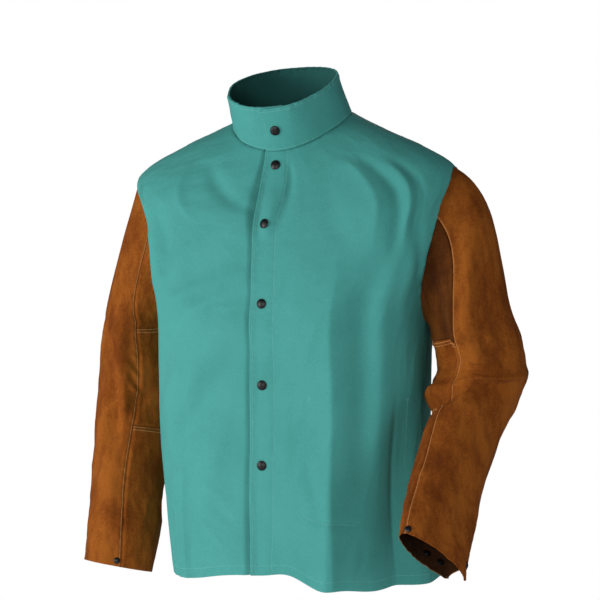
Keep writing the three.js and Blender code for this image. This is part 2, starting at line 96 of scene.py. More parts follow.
class Table:
    """Rows of named numbers, read at a row number that may be a fraction."""

    def __init__(self, columns: str, *rows: tuple[float, ...]) -> None:
        """Makes a table.

        Args:
            columns: The columns' names, with spaces between them.
            rows: The numbers of each row.
        """
        self.columns = columns.split()
        self.rows = np.array(rows, float)

    def column(self, name: str) -> Array:
        """The numbers of one column."""
        return self.rows[:, self.columns.index(name)]

    def at(self, place: Array) -> dict[str, Array]:
        """Reads every column on a smooth curve through the rows.

        Args:
            place: Row numbers.

        Returns:
            The values by column name, each shaped as place is.
        """
        last = len(self.rows) - 1
        k = np.clip(np.floor(place).astype(int), 0, last - 1)
        t = (place - k)[..., None]
        b, c = self.rows[k], self.rows[k + 1]
        a = np.where((k > 0)[..., None], self.rows[np.maximum(k - 1, 0)], 2 * b - c)
        d = np.where((k < last - 1)[..., None], self.rows[np.minimum(k + 2, last)], 2 * c - b)
        value = b + 0.5 * t * (c - a + t * (2 * a - 5 * b + 4 * c - d + t * (3 * (b - c) + d - a)))
        return {name: value[..., i] for i, name in enumerate(self.columns)}


class Noise:
    """Smooth seeded noise over a plane, from -1 to 1."""

    cells = 64  # before it repeats
    layers = 3
    layer_shift = (7.3, 3.1)

    def __init__(self, seed: int) -> None:
        """Draws the lattice from a seed."""
        self.lattice = np.random.default_rng(seed).uniform(-1, 1, (self.cells, self.cells))

    def at(self, x: Array, y: Array) -> Array:
        """Noise at places.

        Args:
            x: Places in cells.
            y: Places in cells.

        Returns:
            The noise.
        """
        i, j = np.floor(x).astype(int), np.floor(y).astype(int)
        fx, fy = ((f * f * f * (f * (6 * f - 15) + 10)) for f in (x - i, y - j))
        i, j, i1, j1 = i % self.cells, j % self.cells, (i + 1) % self.cells, (j + 1) % self.cells
        low = self.lattice[i, j] * (1 - fx) + self.lattice[i1, j] * fx
        high = self.lattice[i, j1] * (1 - fx) + self.lattice[i1, j1] * fx
        return low * (1 - fy) + high * fy

    def layered(self, x: Array, y: Array, size: float) -> Array:
        """Noise of several sizes, each half as large and half as strong as the one before.

        Args:
            x: Places in millimetres.
            y: Places in millimetres.
            size: Width of the largest lumps, in millimetres.

        Returns:
            The noise.
        """
        shift_x, shift_y = self.layer_shift
        scales = ((n, 2**n) for n in range(self.layers))
        return sum(self.at(x * k / size + shift_x * n, y * k / size + shift_y * n) / k for n, k in scales)


def unit(vectors: Array) -> Array:
    """Vectors scaled to a length of one."""
    return vectors / np.maximum(np.linalg.norm(vectors, axis=-1, keepdims=True), 1e-12)


def smoothstep(x: Array, low: float, high: float) -> Array:
    """A soft step from 0 at low to 1 at high."""
    t = np.clip((x - low) / (high - low), 0, 1)
    return t * t * (3 - 2 * t)


def bell(x: Array, width: float) -> Array:
    """A bell curve, 1 in the middle."""
    return np.exp(-((x / width) ** 2))


@dataclass(frozen=True)
class Crumpling:
    """Soft lumps in cloth or hide, with creases along slanted lines."""

    lumps: Noise
    lump_height: float
    lump_size: float
    stretch: float  # share of the way along that the lumps are read at, which draws them out
    creases: Noise
    crease_height: float
    crease_size: float  # the distance between them
    # Shares of the ways round and along in each of the noise's two ways
    slant: tuple[tuple[float, float], tuple[float, float]]
    start: float = 0.0  # where the creases' noise is read from
    # Noise below and above which the creases fade and show, if they fade
    hushed: tuple[float, float] | None = None
    crest = 0.35  # noise at which a crease is level

    def at(self, x: Array, y: Array) -> Array:
        """Height of the lumps and creases.

        Args:
            x: Places round the surface, in millimetres.
            y: Places along it.

        Returns:
            The height in millimetres.
        """
        first, second = (way_x * x + way_y * y for way_x, way_y in self.slant)
        drawn = self.creases.layered(first + self.start, second, self.crease_size)
        height = self.crease_height * (self.crest - np.abs(drawn))
        if self.hushed:
            height = height * smoothstep(drawn, *self.hushed)
        return height + self.lump_height * self.lumps.layered(x, y * self.stretch, self.lump_size)


def oval_point(ring: dict[str, Array], angle: Array) -> Array:
    """Points of oval sections at angles from the middle of the front.

    Args:
        ring: The sections' sizes.
        angle: Angles in degrees.

    Returns:
        The points.
    """
    turn = np.radians(angle + ring["twist"])
    s, c = np.sin(turn), np.cos(turn)
    half = np.where(s > 0, ring["left"], ring["right"])
    depth = np.where(c > 0, ring["front"], ring["back"])
    rise = np.where(c > 0, ring["z_front"], ring["z_back"]) - ring["z_side"]
    x = ring["shift_x"] + half * s * (1 + ring["square"] * c * c)
    y = ring["shift_y"] - depth * c * (1 + ring["square"] * s * s)
    z = ring["z_side"] + ring["lean"] * c + (rise - ring["lean"] * np.sign(c)) * c * c
    return np.stack([x, y, z], axis=-1)


RING_COLUMNS = "left right front back z_front z_side z_back lean square twist shift_x shift_y"
FOLD_COLUMNS = "from_angle from_row to_angle to_row width height crest"
SLEEVE_COLUMNS = "x y z thin wide roll slant front back"

# From the neckline up
COLLAR_RINGS = Table(
    RING_COLUMNS,
    (100, 102, 74, 96, -65, -6, 13, -36, 0, 4, 0, 0),
    (94, 98, 77, 92, -34, 24, 52, -42, 0, 7, -3, -15),
    (93, 93, 80, 88, -3, 50, 88, -45, 0, 8, -6, -28),
)
# Neckline, collarbone, shoulder, blade, chest, armpit, waist, hip, hem
BODY_RINGS = Table(
    RING_COLUMNS,
    (100, 102, 74, 96, -66, -7, 12, -36, 0, 2, 0, 0),
    (188, 188, 90, 114, -122, -43, -52, -4, 0.2, 1, 0, 0),
    (280, 278, 113, 132, -182, -95, -122, 0, 0.12, 0, 0, 0),
    (280, 256, 121, 144, -240, -165, -184, 0, 0.13, 0, 0, 0),
    (260, 242, 125, 150, -298, -242, -250, 0, 0.14, 0, 0, 0),
    (236, 228, 126, 150, -352, -320, -322, 0, 0.14, 0, -1, 0),
    (231, 230, 122, 152, -476, -464, -464, 0, 0.12, 1, -4, 0),
    (222, 230, 122, 166, -608, -606, -606, 0, 0.1, -1, 4, 0),
    (229, 220, 124, 184, -745, -759, -757, 0, 0.08, -3.6, 14, 0),
)
HEM_DIPS = Table("angle width drop", (24, 8, 11), (42, 15, 11), (10, 7, -6), (-38, 19, 11))
HEM_ROWS = 2  # over which the dips grow
ARMHOLE_TOP, ARMHOLE_FOOT = 2.0, 5.15  # rows
ARMHOLE_MIDDLE, ARMHOLE_HALF = (ARMHOLE_TOP + ARMHOLE_FOOT) / 2, (ARMHOLE_FOOT - ARMHOLE_TOP) / 2
BODY_FOLDS = Table(
    FOLD_COLUMNS,
    (23, 2.6, 31, 9.6, 46, 20, 2),
    (27, 6.3, 25, 11, 36, 18, 2),
    (38, 3.4, 41, 7.4, 26, -8, 0),
    (47, 3.0, 50, 6.8, 22, 6, 0),
    (67, 5.4, 61, 11.5, 48, -25, 0),
    (37, 0.7, 36, 3.3, 13, 7, 3),
    (44, 0.8, 46, 3.8, 13, -7, 0),
    (51, 1.2, 49, 3.4, 12, 7, 3),
    (55, 1.3, 54, 3.4, 10, -6, 0),
    (52, 2.6, 66, 4.4, 14, -6, 0),
    (57, 3.0, 60, 5.4, 18, 6, 0),
    (13, 2.6, 15, 6.0, 22, 4, 0),
    (-53, 2.0, -63, 6.0, 30, 11, 0),
    (-48, 1.0, -24, 2.3, 14, 6, 3),
    (-40, 0.7, -4, 1.8, 15, -6, 0),
    (-42, 2.0, -46, 4.4, 22, -7, 0),
    (0, 3.1, -60, 5.3, 20, 6, 0),
    (0, 3.75, -60, 5.75, 16, -6, 0),
    (0, 4.55, -62, 6.35, 20, 6, 0),
    (0, 5.05, -56, 7.1, 18, -6, 0),
    (-3, 5.4, -32, 7.6, 18, 5, 0),
    (-45, 5.6, -52, 10.5, 26, 8, 0),
    (116, 3.6, 123, 12, 40, 12, 0),
    (146, 4.2, 151, 12, 36, -9, 0),
    (184, 3.4, 180, 12, 48, 11, 0),
    (214, 4.0, 207, 12, 36, -9, 0),
    (241, 3.6, 240, 12, 40, 11, 0),
    # Shallow creases that break up the larger folds
    (-66, 1.8, -52, 2.5, 7, 3, 0),
    (-38, 6.2, -41, 8.9, 8, 3.5, 2),
    (-58, 6.4, -55, 8.6, 9, 3.5, 0),
    (-50, 6.6, -47, 8.8, 8, -3, 0),
    (-58, 7.0, -42, 7.25, 6, 2.6, 1.5),
    (-57, 7.12, -43, 7.4, 6, -2.6, 0),
    (-30, 6.7, -50, 7.0, 7, 2.2, 0),
    (-28, 6.9, -46, 7.25, 7, -2.2, 0),
    (-26, 6.95, -12, 7.2, 6, 2.2, 1.5),
    (-24, 7.15, -8, 7.5, 7, -2, 0),
    (-30, 7.3, -14, 7.75, 6, 1.8, 1.5),
    (-20, 6.2, -38, 6.75, 9, 2, 0),
    (16, 6.5, 26, 7.4, 10, -2, 0),
    (9.5, 0.3, 3.4, 2.5, 7, -5, 0),
    (-4.6, 0.6, -1.6, 2.7, 6, -4, 0),
    (1.4, 1.1, 0.6, 2.5, 6, 2.5, 0),
    (20, 1.2, 24, 3.2, 16, -3, 0),
    (-16, 2.2, -48, 4.2, 14, 3, 0),
    (-14, 5.2, -50, 6.4, 14, 3, 0),
    (60, 5.8, 64, 8.2, 10, -3, 0),
    (14, 7.24, 41, 7.3, 2.6, -1.3, 0),
    (134, 5.0, 137, 9.5, 16, 4, 0),
    (165, 3.2, 162, 8.8, 18, -4, 0),
    (198, 2.6, 196, 8.8, 18, 4, 0),
    (228, 4.6, 224, 9.5, 14, -4, 0),
)
# Upper arm, above the elbow, elbow, below the elbow, forearm, wrist, cuff
LEFT_RINGS = Table(
    SLEEVE_COLUMNS,
    (305, 16, -350, 66, 82, 0, 0, 97, -88),
    (315, 26, -402, 69, 79, 0, 0, 102, -88),
    (314, 20, -448, 63, 73, 6, 0, 109, -84),
    (300, -22, -512, 50, 68, 18, 0, 113, -74),
    (291, -80, -588, 45, 64, 28, 2, 110, -59),
    (290, -128, -649, 35, 65, 34, 8, 112, -47),
    (291, -161, -693, 27, 63, 37, 12, 115, -40),
)
RIGHT_RINGS = Table(
    SLEEVE_COLUMNS,
    (292, 24, -335, 56, 84, 0, 0, 120, -88),
    (302, 30, -405, 61, 80, 0, 0, 125, -88),
    (308, 30, -475, 66, 76, 0, 0, 125, -88),
    (310, 18, -550, 66, 72, 0, 0, 120, -88),
    (308, -2, -626, 63, 68, 12, 0, 116, -88),
    (303, -24, -700, 63, 66, 34, -2, 116, -88),
    (304, -42, -762, 58, 63, 54, -7, 121, -88),
)
LEFT_FOLDS = Table(
    FOLD_COLUMNS,
    (186, 4.05, 80, 3.5, 15, -19, 0),
    (196, 3.55, 118, 3.42, 16, 17, 0),
    (204, 3.0, 126, 3.0, 26, 9, 0),
    (88, 3.45, -4, 3.0, 15, -8, 0),
    (28, 0.2, 54, 2.6, 24, -7, 0),
    (65, 0.3, 79, 2.9, 22, 8, 0),
    (122, 0.0, 126, 3.3, 20, -24, 0),
    (42, 3.7, 16, 7, 22, -5, 0),
    (-52, 2.5, -128, 3.5, 22, 8, 0),
    (20, 2.48, -66, 2.62, 18, 7, 0),
    # Lesser creases
    (40, 0.3, 104, 1.2, 12, 6, 2),
    (40, 0.75, 92, 1.6, 15, -6, 0),
    (66, 0.15, 72, 0.6, 10, -4, 0),
    (116, 3.4, -20, 2.3, 7, 8, 2),
    (113, 3.64, -12, 2.58, 8, -6, 0),
    (64, 0.1, 70, 1.6, 14, 6, 2),
    (67, 0.7, 62, 2.1, 13, -7, 0),
    (60, 3.9, -10, 4.4, 6, 2.5, 1.5),
    (100, 2.7, 60, 2.45, 8, 3, 0),
    (96, 2.3, 50, 2.2, 10, -2.5, 0),
    (10, 3.7, -20, 4.15, 6, 2.2, 0),
    (24, 3.9, -10, 4.3, 6, -2.2, 0),
    (60, 4.2, 20, 4.9, 10, 2.5, 0),
    (96, 4.6, 60, 5.4, 10, -2, 0),
    (40, 0.5, 60, 1.6, 10, 2.5, 0),
    (-60, 4.4, -120, 4.9, 10, 2.5, 0),
)
RIGHT_FOLDS = Table(
    FOLD_COLUMNS,
    (59, 0.8, 67, 4.0, 22, -7, 0),
    (92, 0.6, 98, 3.5, 18, 7, 0),
    (156, 2.95, 100, 3.3, 16, -9, 0),
    (38, 3.4, 64, 6.2, 20, -5, 0),
    (-64, 2.1, -126, 3.3, 24, 8, 0),
    (97, 4.0, 83, 7.4, 20, 5, 0),
    # Lesser creases
    (91, 2.3, 99, 4.3, 9, -6, 0),
    (78, 1.3, 92, 4.6, 13, -8, 0),
    (60, 1.5, 70, 4.6, 15, 4, 0),
    (103, 2.5, 108, 4.0, 8, 4, 0),
    (106, 2.25, 129, 2.9, 5, -4, 0),
    (112, 2.65, 131, 3.1, 5, 4, 1.5),
    (110, 1.9, 126, 2.4, 5, -3, 0),
    (112, 2.9, 70, 3.5, 9, 3, 0),
    (108, 2.4, 64, 2.9, 9, -2.5, 0),
    (100, 1.7, 60, 2.2, 10, 2.5, 0),
    (112, 3.7, 60, 4.5, 10, -2.5, 0),
    (40, 4.2, 60, 6.4, 10, 2, 0),
    (20, 0.6, 40, 2.6, 14, 2.5, 0),
    (-60, 3.4, -120, 4.2, 10, 2.5, 0),
)


# Surfaces


class Surface:
    """A surface over places (u, v), in millimetres, with relief along its normal."""

    side: int  # 1 where u cross v points out of the garment, or -1
    mm_per_u: float  # roughly
    mm_per_v: float

    def form(self, u: Array, v: Array) -> Array:
        """Points of the plain form."""
        raise NotImplementedError

    def relief(self, u: Array, v: Array) -> Array:
        """Height of the folds over the plain form."""
        raise NotImplementedError

    def folded(self, folds: Table, angle: Array, row: Array) -> Array:
        """Height of a set of folds, each a ridge or valley from one place to another, highest half way.

        A fold is round where its crest is 0. Otherwise its two sides meet in a crest of about that radius.

        Args:
            folds: The folds.
            angle: Places round the surface, in degrees.
            row: Places along the surface, in rows.

        Returns:
            The height in millimetres.
        """
        height = np.zeros_like(angle)
        for from_angle, from_row, to_angle, to_row, width, rise, crest in folds.rows:
            run_x, run_y = (to_angle - from_angle) * self.mm_per_u, (to_row - from_row) * self.mm_per_v
            x, y = (angle - from_angle) * self.mm_per_u, (row - from_row) * self.mm_per_v
            along = np.clip((x * run_x + y * run_y) / (run_x**2 + run_y**2), 0, 1)
            off = np.hypot(x - along * run_x, y - along * run_y)
            profile = np.exp((crest - np.hypot(off, crest)) / width) if crest else bell(off, width)
            height += rise * np.sin(np.pi * along) * profile
        return height

    def slope(self, points: Callable[[Array, Array], Array], u: Array, v: Array) -> Array:
        """Unit normals of a form, out of the garment.

        Args:
            points: What gives the form's points.
            u: Places round it.
            v: Places along it.

        Returns:
            The normals.
        """
        along_u = points(u + PROBE, v) - points(u - PROBE, v)
        along_v = points(u, v + PROBE) - points(u, v - PROBE)
        return unit(np.cross(along_u, along_v)) * self.side

    def normal(self, u: Array, v: Array) -> Array:
        """Unit normals of the plain form."""
        return self.slope(self.form, u, v)

    def point(self, u: Array, v: Array) -> Array:
        """Points of the folded surface."""
        return self.form(u, v) + self.normal(u, v) * self.relief(u, v)[..., None]

    def seats(self, u: Array, v: Array) -> Seat:
        """Points and normals of the folded surface."""
        return self.point(u, v), self.slope(self.point, u, v)

    def seat(self, u: float, v: float) -> Seat:
        """Point and normal of the folded surface at one place."""
        points, normals = self.seats(np.array([u], float), np.array([v], float))
        return points[0], normals[0]


class BodySurface(Surface):
    """The torso over angles from the middle of the front and rows from the neckline to the hem."""

    side = -1
    mm_per_u = 3.6
    mm_per_v = 105.0
    last_row = len(BODY_RINGS.rows) - 1
    even_rows = 0.7  # over which the crumpling grows from the neckline
    crumpling = Crumpling(
        lumps=Noise(11), lump_height=1.2, lump_size=74, stretch=0.55, hushed=(-0.9, 0.6),
        creases=Noise(13), crease_height=1.5, crease_size=48, slant=((1, 0.45), (-0.2, 0.5)),
    )

    def form(self, u: Array, v: Array) -> Array:
        """Points of the plain oval form, with the dips of its hem.

        Args:
            u: Angles in degrees.
            v: Rows.

        Returns:
            The points.
        """
        points = oval_point(BODY_RINGS.at(v), u)
        share = smoothstep(v, self.last_row - HEM_ROWS, self.last_row)
        for angle, width, drop in HEM_DIPS.rows:
            points[..., 2] -= share * drop * bell(u - angle, width)
        return points

    def relief(self, u: Array, v: Array) -> Array:
        """Height of the folds and of the crumpled cloth.

        Args:
            u: Angles in degrees.
            v: Rows.

        Returns:
            The height in millimetres.
        """
        turn = np.where(u < -90, u + 360, u)
        uneven = self.crumpling.at(turn * self.mm_per_u, v * self.mm_per_v)
        return self.folded(BODY_FOLDS, turn, v) + uneven * smoothstep(v, 0.0, self.even_rows)

    def twist(self, v: Array) -> Array:
        """How far the rings turn the cloth round the body."""
        return BODY_RINGS.at(v)["twist"]

    def across(self, distance: Array, v: Array) -> Array:
        """Angles that lie a distance across from the middle of the front."""
        return np.degrees(distance / BODY_RINGS.at(v)["left"])

    def row_at_height(self, angle: float, height: float) -> float:
        """Row at which a line down the front reaches a height.

        Args:
            angle: The line's angle.
            height: The height in millimetres.

        Returns:
            The row.
        """
        rows = np.linspace(0, self.last_row, 2001)
        heights = self.point(np.full_like(rows, angle), rows)[:, 2]
        return float(np.interp(-height, -heights, rows))


@dataclass
class LappedSurface(BodySurface):
    """The body's surface, raised or sunk across the front closure."""

    proud: float = 0.0  # how far the surface stands out, easing level at the far edge of the closure
    lift: float = 0.0  # how much further the near edge of the closure stands off
    sink: float = 0.0  # how far the surface dips to pass under the placket
    hollow: float = 0.0  # how much further it dips below the collar and above the hem
    half: float = 18.5  # half the width of the closure
    ease: float = 8.0  # width over which it dips

    def loose(self, v: Array) -> Array:
        """How loosely the closure hangs: fully below the collar, and half as much above the hem."""
        return bell(v - 1.55, 0.75) + 0.5 * smoothstep(v, 6.4, 7.4)

    def relief(self, u: Array, v: Array) -> Array:
        """Height of the body's folds and of this layer over them.

        Args:
            u: Angles in degrees.
            v: Rows.

        Returns:
            The height in millimetres.
        """
        across = BODY_RINGS.at(v)["left"] * np.radians(u)
        loose = self.loose(v)
        raised = self.proud * (1 - smoothstep(across, 0.4 * self.half, self.half))
        raised += self.lift * (1 + loose) * (1 - smoothstep(across, -self.half, -0.3 * self.half))
        width = self.ease * (1 + 1.2 * loose)
        dip = (self.sink + self.hollow * loose) * smoothstep(across, -self.half - width, -self.half)
        return super().relief(u, v) + raised - dip


@dataclass
class CollarSurface(Surface):
    """The stand collar, from its outer end past the left side and the back to the end that lies under."""

    lap: float = 12.0  # degrees that each end runs past the middle of the front
    rise: float = 4.0  # how far each end steps out or in to pass the other
    wave_height: float = 0.9  # height of soft waves in the cloth
    wave_size: float = 46.0  # their width
    side = 1
    mm_per_u = 1.7
    mm_per_v = 38.0
    waves = Noise(23)

    def form(self, u: Array, v: Array) -> Array:
        """Points of the plain tapering form."""
        return oval_point(COLLAR_RINGS.at(v), u)

    def relief(self, u: Array, v: Array) -> Array:
        """Height of the lapping ends and of the waves.

        Args:
            u: Angles in degrees.
            v: Rows.

        Returns:
            The height in millimetres.
        """
        stepped = 5 * self.lap
        over = 1 - smoothstep(u, self.lap, stepped)
        under = smoothstep(u, 360 - stepped, 360 - self.lap)
        x, y = u * self.mm_per_u, v * self.mm_per_v
        waves = self.wave_height * self.waves.layered(x + 0.5 * y, y * 0.7, self.wave_size)
        return self.rise * (over - under * smoothstep(v, 0.1, 0.7)) + waves


@dataclass
class SleeveSurface(Surface):
    """One sleeve, over angles from its outer side round to the front and rows from the armhole."""

    side: int  # 1 for the wearer's left, or -1
    body: BodySurface
    rings: Table  # sections along the arm
    folds: Table  # folds and creases
    before: float  # degrees that the armhole reaches before the side
    behind: float  # degrees that it reaches behind the side
    top_out: float  # how steeply outwards the sleeve leaves the top of the armhole, against one down
    foot_out: float  # the same at its foot
    noise: Noise  # of the suede's unevenness
    under: float = 2.4  # how far the edge lies inside the cotton
    tucked: float = 2.0  # how far the edge reaches under the cotton
    mm_per_u = 1.25
    mm_per_v = 65.0
    even_rows = 0.4  # over which the crumpling grows from the armhole
    first_angle = -105  # of the places, which run once round from there
    at_armhole = {"front": 72.0, "back": -88.0}  # angles of the long seams

    def __post_init__(self) -> None:
        """Works out the arm's middle line and its directions."""
        x, y, z = (self.rings.column(name) for name in ("x", "y", "z"))
        self.centres = np.stack([self.side * x, y, z], axis=-1)
        self.last_row = len(self.centres)
        first, last = 2 * self.centres[0] - self.centres[1], 2 * self.centres[-1] - self.centres[-2]
        line = np.concatenate([[first], self.centres, [last]])
        step = np.sqrt(np.linalg.norm(np.diff(line, axis=0), axis=1))[:, None]
        arriving, leaving = np.diff(line, axis=0)[:-1], np.diff(line, axis=0)[1:]
        turn = (arriving + leaving) / (step[:-1] + step[1:])
        self.along = unit(arriving / step[:-1] - turn + leaving / step[1:])
        self.crumpling = Crumpling(
            lumps=self.noise, lump_height=1.3, lump_size=52, stretch=1.0, start=310,
            creases=self.noise, crease_height=2.2, crease_size=38, slant=((0.9, 0.4), (-0.3, 0.6)),
        )

    def armhole_place(self, turn: Array) -> tuple[Array, Array]:
        """Places of the armhole's edge on the body.

        Args:
            turn: Angles round the armhole from its top, positive to the front.

        Returns:
            The body's angles and rows.
        """
        s = np.sin(np.radians(turn))
        row = ARMHOLE_MIDDLE - ARMHOLE_HALF * np.cos(np.radians(turn))
        angle = self.side * (90 - np.where(s > 0, self.before, self.behind) * s) - self.body.twist(row)
        return angle, row

    def armhole(self, turn: Array) -> Array:
        """Points of the sleeve's edge, tucked under the cotton.

        Args:
            turn: Angles round the armhole from its top, positive to the front.

        Returns:
            The points.
        """
        place = self.armhole_place(turn)
        outward = self.body.normal(*place)
        ahead = self.body.point(*self.armhole_place(turn + PROBE))
        behind = self.body.point(*self.armhole_place(turn - PROBE))
        into_hole = -self.side * np.cross(unit(ahead - behind), outward)
        return self.body.point(*place) - outward * self.under - into_hole * self.tucked

    def section(self, row: int, angle: Array) -> Array:
        """Points of a section, square to the arm's middle line.

        Args:
            row: A whole row.
            angle: Angles round the arm.

        Returns:
            The points.
        """
        if row == 0:
            return self.armhole(angle)
        k = row - 1
        along = self.along[k]
        out = unit(np.array([self.side, 0, 0]) - along * self.side * along[0])
        front = np.array([0.0, -1, 0])
        front = front - along * (front @ along)
        front = unit(front - out * (front @ out))
        roll = math.radians(self.rings.column("roll")[k])
        turn = (np.radians(angle) - roll)[..., None]
        thin_way = out * math.cos(roll) + front * math.sin(roll)
        wide_way = front * math.cos(roll) - out * math.sin(roll)
        thin, wide, slant = (self.rings.column(name)[k] for name in ("thin", "wide", "slant"))
        spoke = thin_way * thin * np.cos(turn) + (wide_way * wide - along * slant) * np.sin(turn)
        return self.centres[k] + spoke

    def heading(self, row: int, angle: Array) -> Array:
        """Directions in which the sleeve runs at a section.

        Args:
            row: A whole row.
            angle: Angles round the arm.

        Returns:
            The directions.
        """
        if row == 0:
            share = 0.5 + 0.5 * np.cos(np.radians(angle))
            out = self.foot_out + (self.top_out - self.foot_out) * share
            return unit(np.stack([self.side * out, np.zeros_like(out), -np.ones_like(out)], axis=-1))
        here = self.section(row, angle)
        arriving = unit(here - self.section(row - 1, angle))
        if row == self.last_row:
            return arriving
        return unit(arriving + unit(self.section(row + 1, angle) - here))

    def form(self, u: Array, v: Array) -> Array:
        """Points on smooth curves from section to section.

        Args:
            u: Angles in degrees.
            v: Rows.

        Returns:
            The points.
        """
        points = np.zeros((*u.shape, 3))
        which = np.clip(np.floor(v).astype(int), 0, self.last_row - 1)
        for k in np.unique(which):
            here = which == k
            angle, t = u[here], (v[here] - k)[:, None]
            start, end = self.section(k, angle), self.section(k + 1, angle)
            pull = np.linalg.norm(end - start, axis=-1, keepdims=True) / 3
            first, second = start + self.heading(k, angle) * pull, end - self.heading(k + 1, angle) * pull
            r = 1 - t
            points[here] = r**3 * start + 3 * r * r * t * first + 3 * r * t * t * second + t**3 * end
        return points

    def relief(self, u: Array, v: Array) -> Array:
        """Height of the folds and of the crumpled hide.

        Args:
            u: Angles in degrees.
            v: Rows.

        Returns:
            The height in millimetres.
        """
        turn = np.where(u > self.first_angle + 360, u - 360, u)
        uneven = self.crumpling.at(turn * self.mm_per_u, v * self.mm_per_v)
        return self.folded(self.folds, turn, v) + uneven * smoothstep(v, 0.0, self.even_rows)

    def seam(self, which: str, v: Array) -> Array:
        """Angles of a long seam.

        Args:
            which: The front or the back one.
            v: Rows.

        Returns:
            The angles in degrees.
        """
        first = self.at_armhole[which]
        at_top = first + (self.rings.column(which)[0] - first) * v
        return np.where(v < 1, at_top, self.rings.at(np.maximum(v - 1, 0))[which])


# Finishes


class Shader:
    """A node material under construction."""

    def __init__(self, name: str) -> None:
        """Starts a material.

        Args:
            name: Its name.
        """
        self.material = bpy.data.materials.new(name)
        self.material.use_nodes = True
        self.tree = self.material.node_tree

    def feed(self, node: bpy.types.Node, inputs: dict[str | int, object]) -> None:
        """Sets or links sockets of a node.

        Args:
            node: The node.
            inputs: Values of its sockets, or sockets to link to them.
        """
        for name, value in inputs.items():
            if isinstance(value, Socket):
                self.tree.links.new(value, node.inputs[name])
            else:
                node.inputs[name].default_value = value

    def add(self, kind: str, inputs: dict[str | int, object], **settings: object) -> bpy.types.Node:
        """Adds a node.

        Args:
            kind: The node's type.
            inputs: Values of its sockets, or sockets to link to them.
            settings: Its own settings.

        Returns:
            The node.
        """
        node = self.tree.nodes.new(kind)
        for name, value in settings.items():
            setattr(node, name, value)
        self.feed(node, inputs)
        return node

    def place(self, kind: str = "Object") -> Socket:
        """Adds texture coordinates of a kind."""
        return self.add("ShaderNodeTexCoord", {}).outputs[kind]

    def squeezed(self, place: Socket, upright: float) -> Socket:
        """Adds coordinates that draw a texture out upright."""
        inputs = {"Vector": place, "Scale": (1.0, 1.0, upright)}
        return self.add("ShaderNodeMapping", inputs).outputs["Vector"]

    def sum(self, operation: str, first: Socket, second: Socket | float) -> Socket:
        """Adds an operation on two values."""
        return self.add("ShaderNodeMath", {0: first, 1: second}, operation=operation).outputs[0]

    def ramp(self, factor: Socket, *stops: tuple[float, Colour]) -> Socket:
        """Adds a colour ramp.

        Args:
            factor: What runs along the ramp.
            stops: Places and colours.

        Returns:
            The colour.
        """
        node = self.add("ShaderNodeValToRGB", {"Fac": factor})
        elements = node.color_ramp.elements
        while len(elements) < len(stops):
            elements.new(0.5)
        for element, (place, colour) in zip(elements, stops):
            element.position, element.color = place, (*colour, 1)
        return node.outputs["Color"]

    def noise(self, place: Socket, scale: float, detail: float, rough: float = 0.55) -> Socket:
        """Adds a noise texture and returns its value."""
        inputs = {"Vector": place, "Scale": scale, "Detail": detail, "Roughness": rough}
        return self.add("ShaderNodeTexNoise", inputs).outputs["Fac"]

    def bump(self, height: Socket, strength: float, distance: float, below: Socket | None = None) -> Socket:
        """Adds a bump, over another if there is one below.

        Args:
            height: What gives its height.
            strength: Its strength.
            distance: Its height in metres.
            below: The normal of the bump below.

        Returns:
            The normal.
        """
        inputs = {"Height": height, "Strength": strength, "Distance": distance}
        if below is not None:
            inputs["Normal"] = below
        return self.add("ShaderNodeBump", inputs).outputs["Normal"]

    def dress(self, inputs: dict[str, object]) -> bpy.types.Material:
        """Feeds the principled shader and returns the material."""
        self.feed(self.tree.nodes["Principled BSDF"], inputs)
        return self.material


def srgb(red: int, green: int, blue: int) -> Colour:
    """A colour from its screen values, as linear light."""
    shares = (c / 255 for c in (red, green, blue))
    return tuple(c / 12.92 if c <= 0.04045 else ((c + 0.055) / 1.055) ** 2.4 for c in shares)


@dataclass(frozen=True)
class CottonFinish:
    """Woven cotton with a flat hand."""

    name: str
    dark: Colour  # in the low patches
    light: Colour  # in the high patches
    yarn: float = 0.0006  # width of a yarn in metres
    wave = 2 * math.pi / 20  # scale at which a wave texture repeats once a metre

    def make(self) -> bpy.types.Material:
        """Builds the material.

        Returns:
            The material.
        """
        shader = Shader(self.name)
        cloth, place = shader.place("UV"), shader.place()
        patches, slubs = shader.noise(place, 9.0, 4.0), shader.noise(place, 420.0, 2.0)
        mean = shader.sum("MULTIPLY", shader.sum("ADD", patches, slubs), 0.5)
        inputs = {"Vector": cloth, "Scale": self.wave / self.yarn, "Distortion": 0.6, "Detail": 1.0}
        weave = (shader.add("ShaderNodeTexWave", inputs, bands_direction=way) for way in "XY")
        warp, weft = (node.outputs["Fac"] for node in weave)
        rumpled = shader.bump(shader.noise(place, 60.0, 3.0), 0.18, 0.0012)
        return shader.dress({
            "Base Color": shader.ramp(mean, (0.34, self.dark), (0.66, self.light)),
            "Normal": shader.bump(shader.sum("MAXIMUM", warp, weft), 0.22, 0.00025, rumpled),
            "Roughness": 0.82,
            "Specular IOR Level": 0.12,
            "Sheen Weight": 0.03,
            "Sheen Roughness": 0.5,
        })


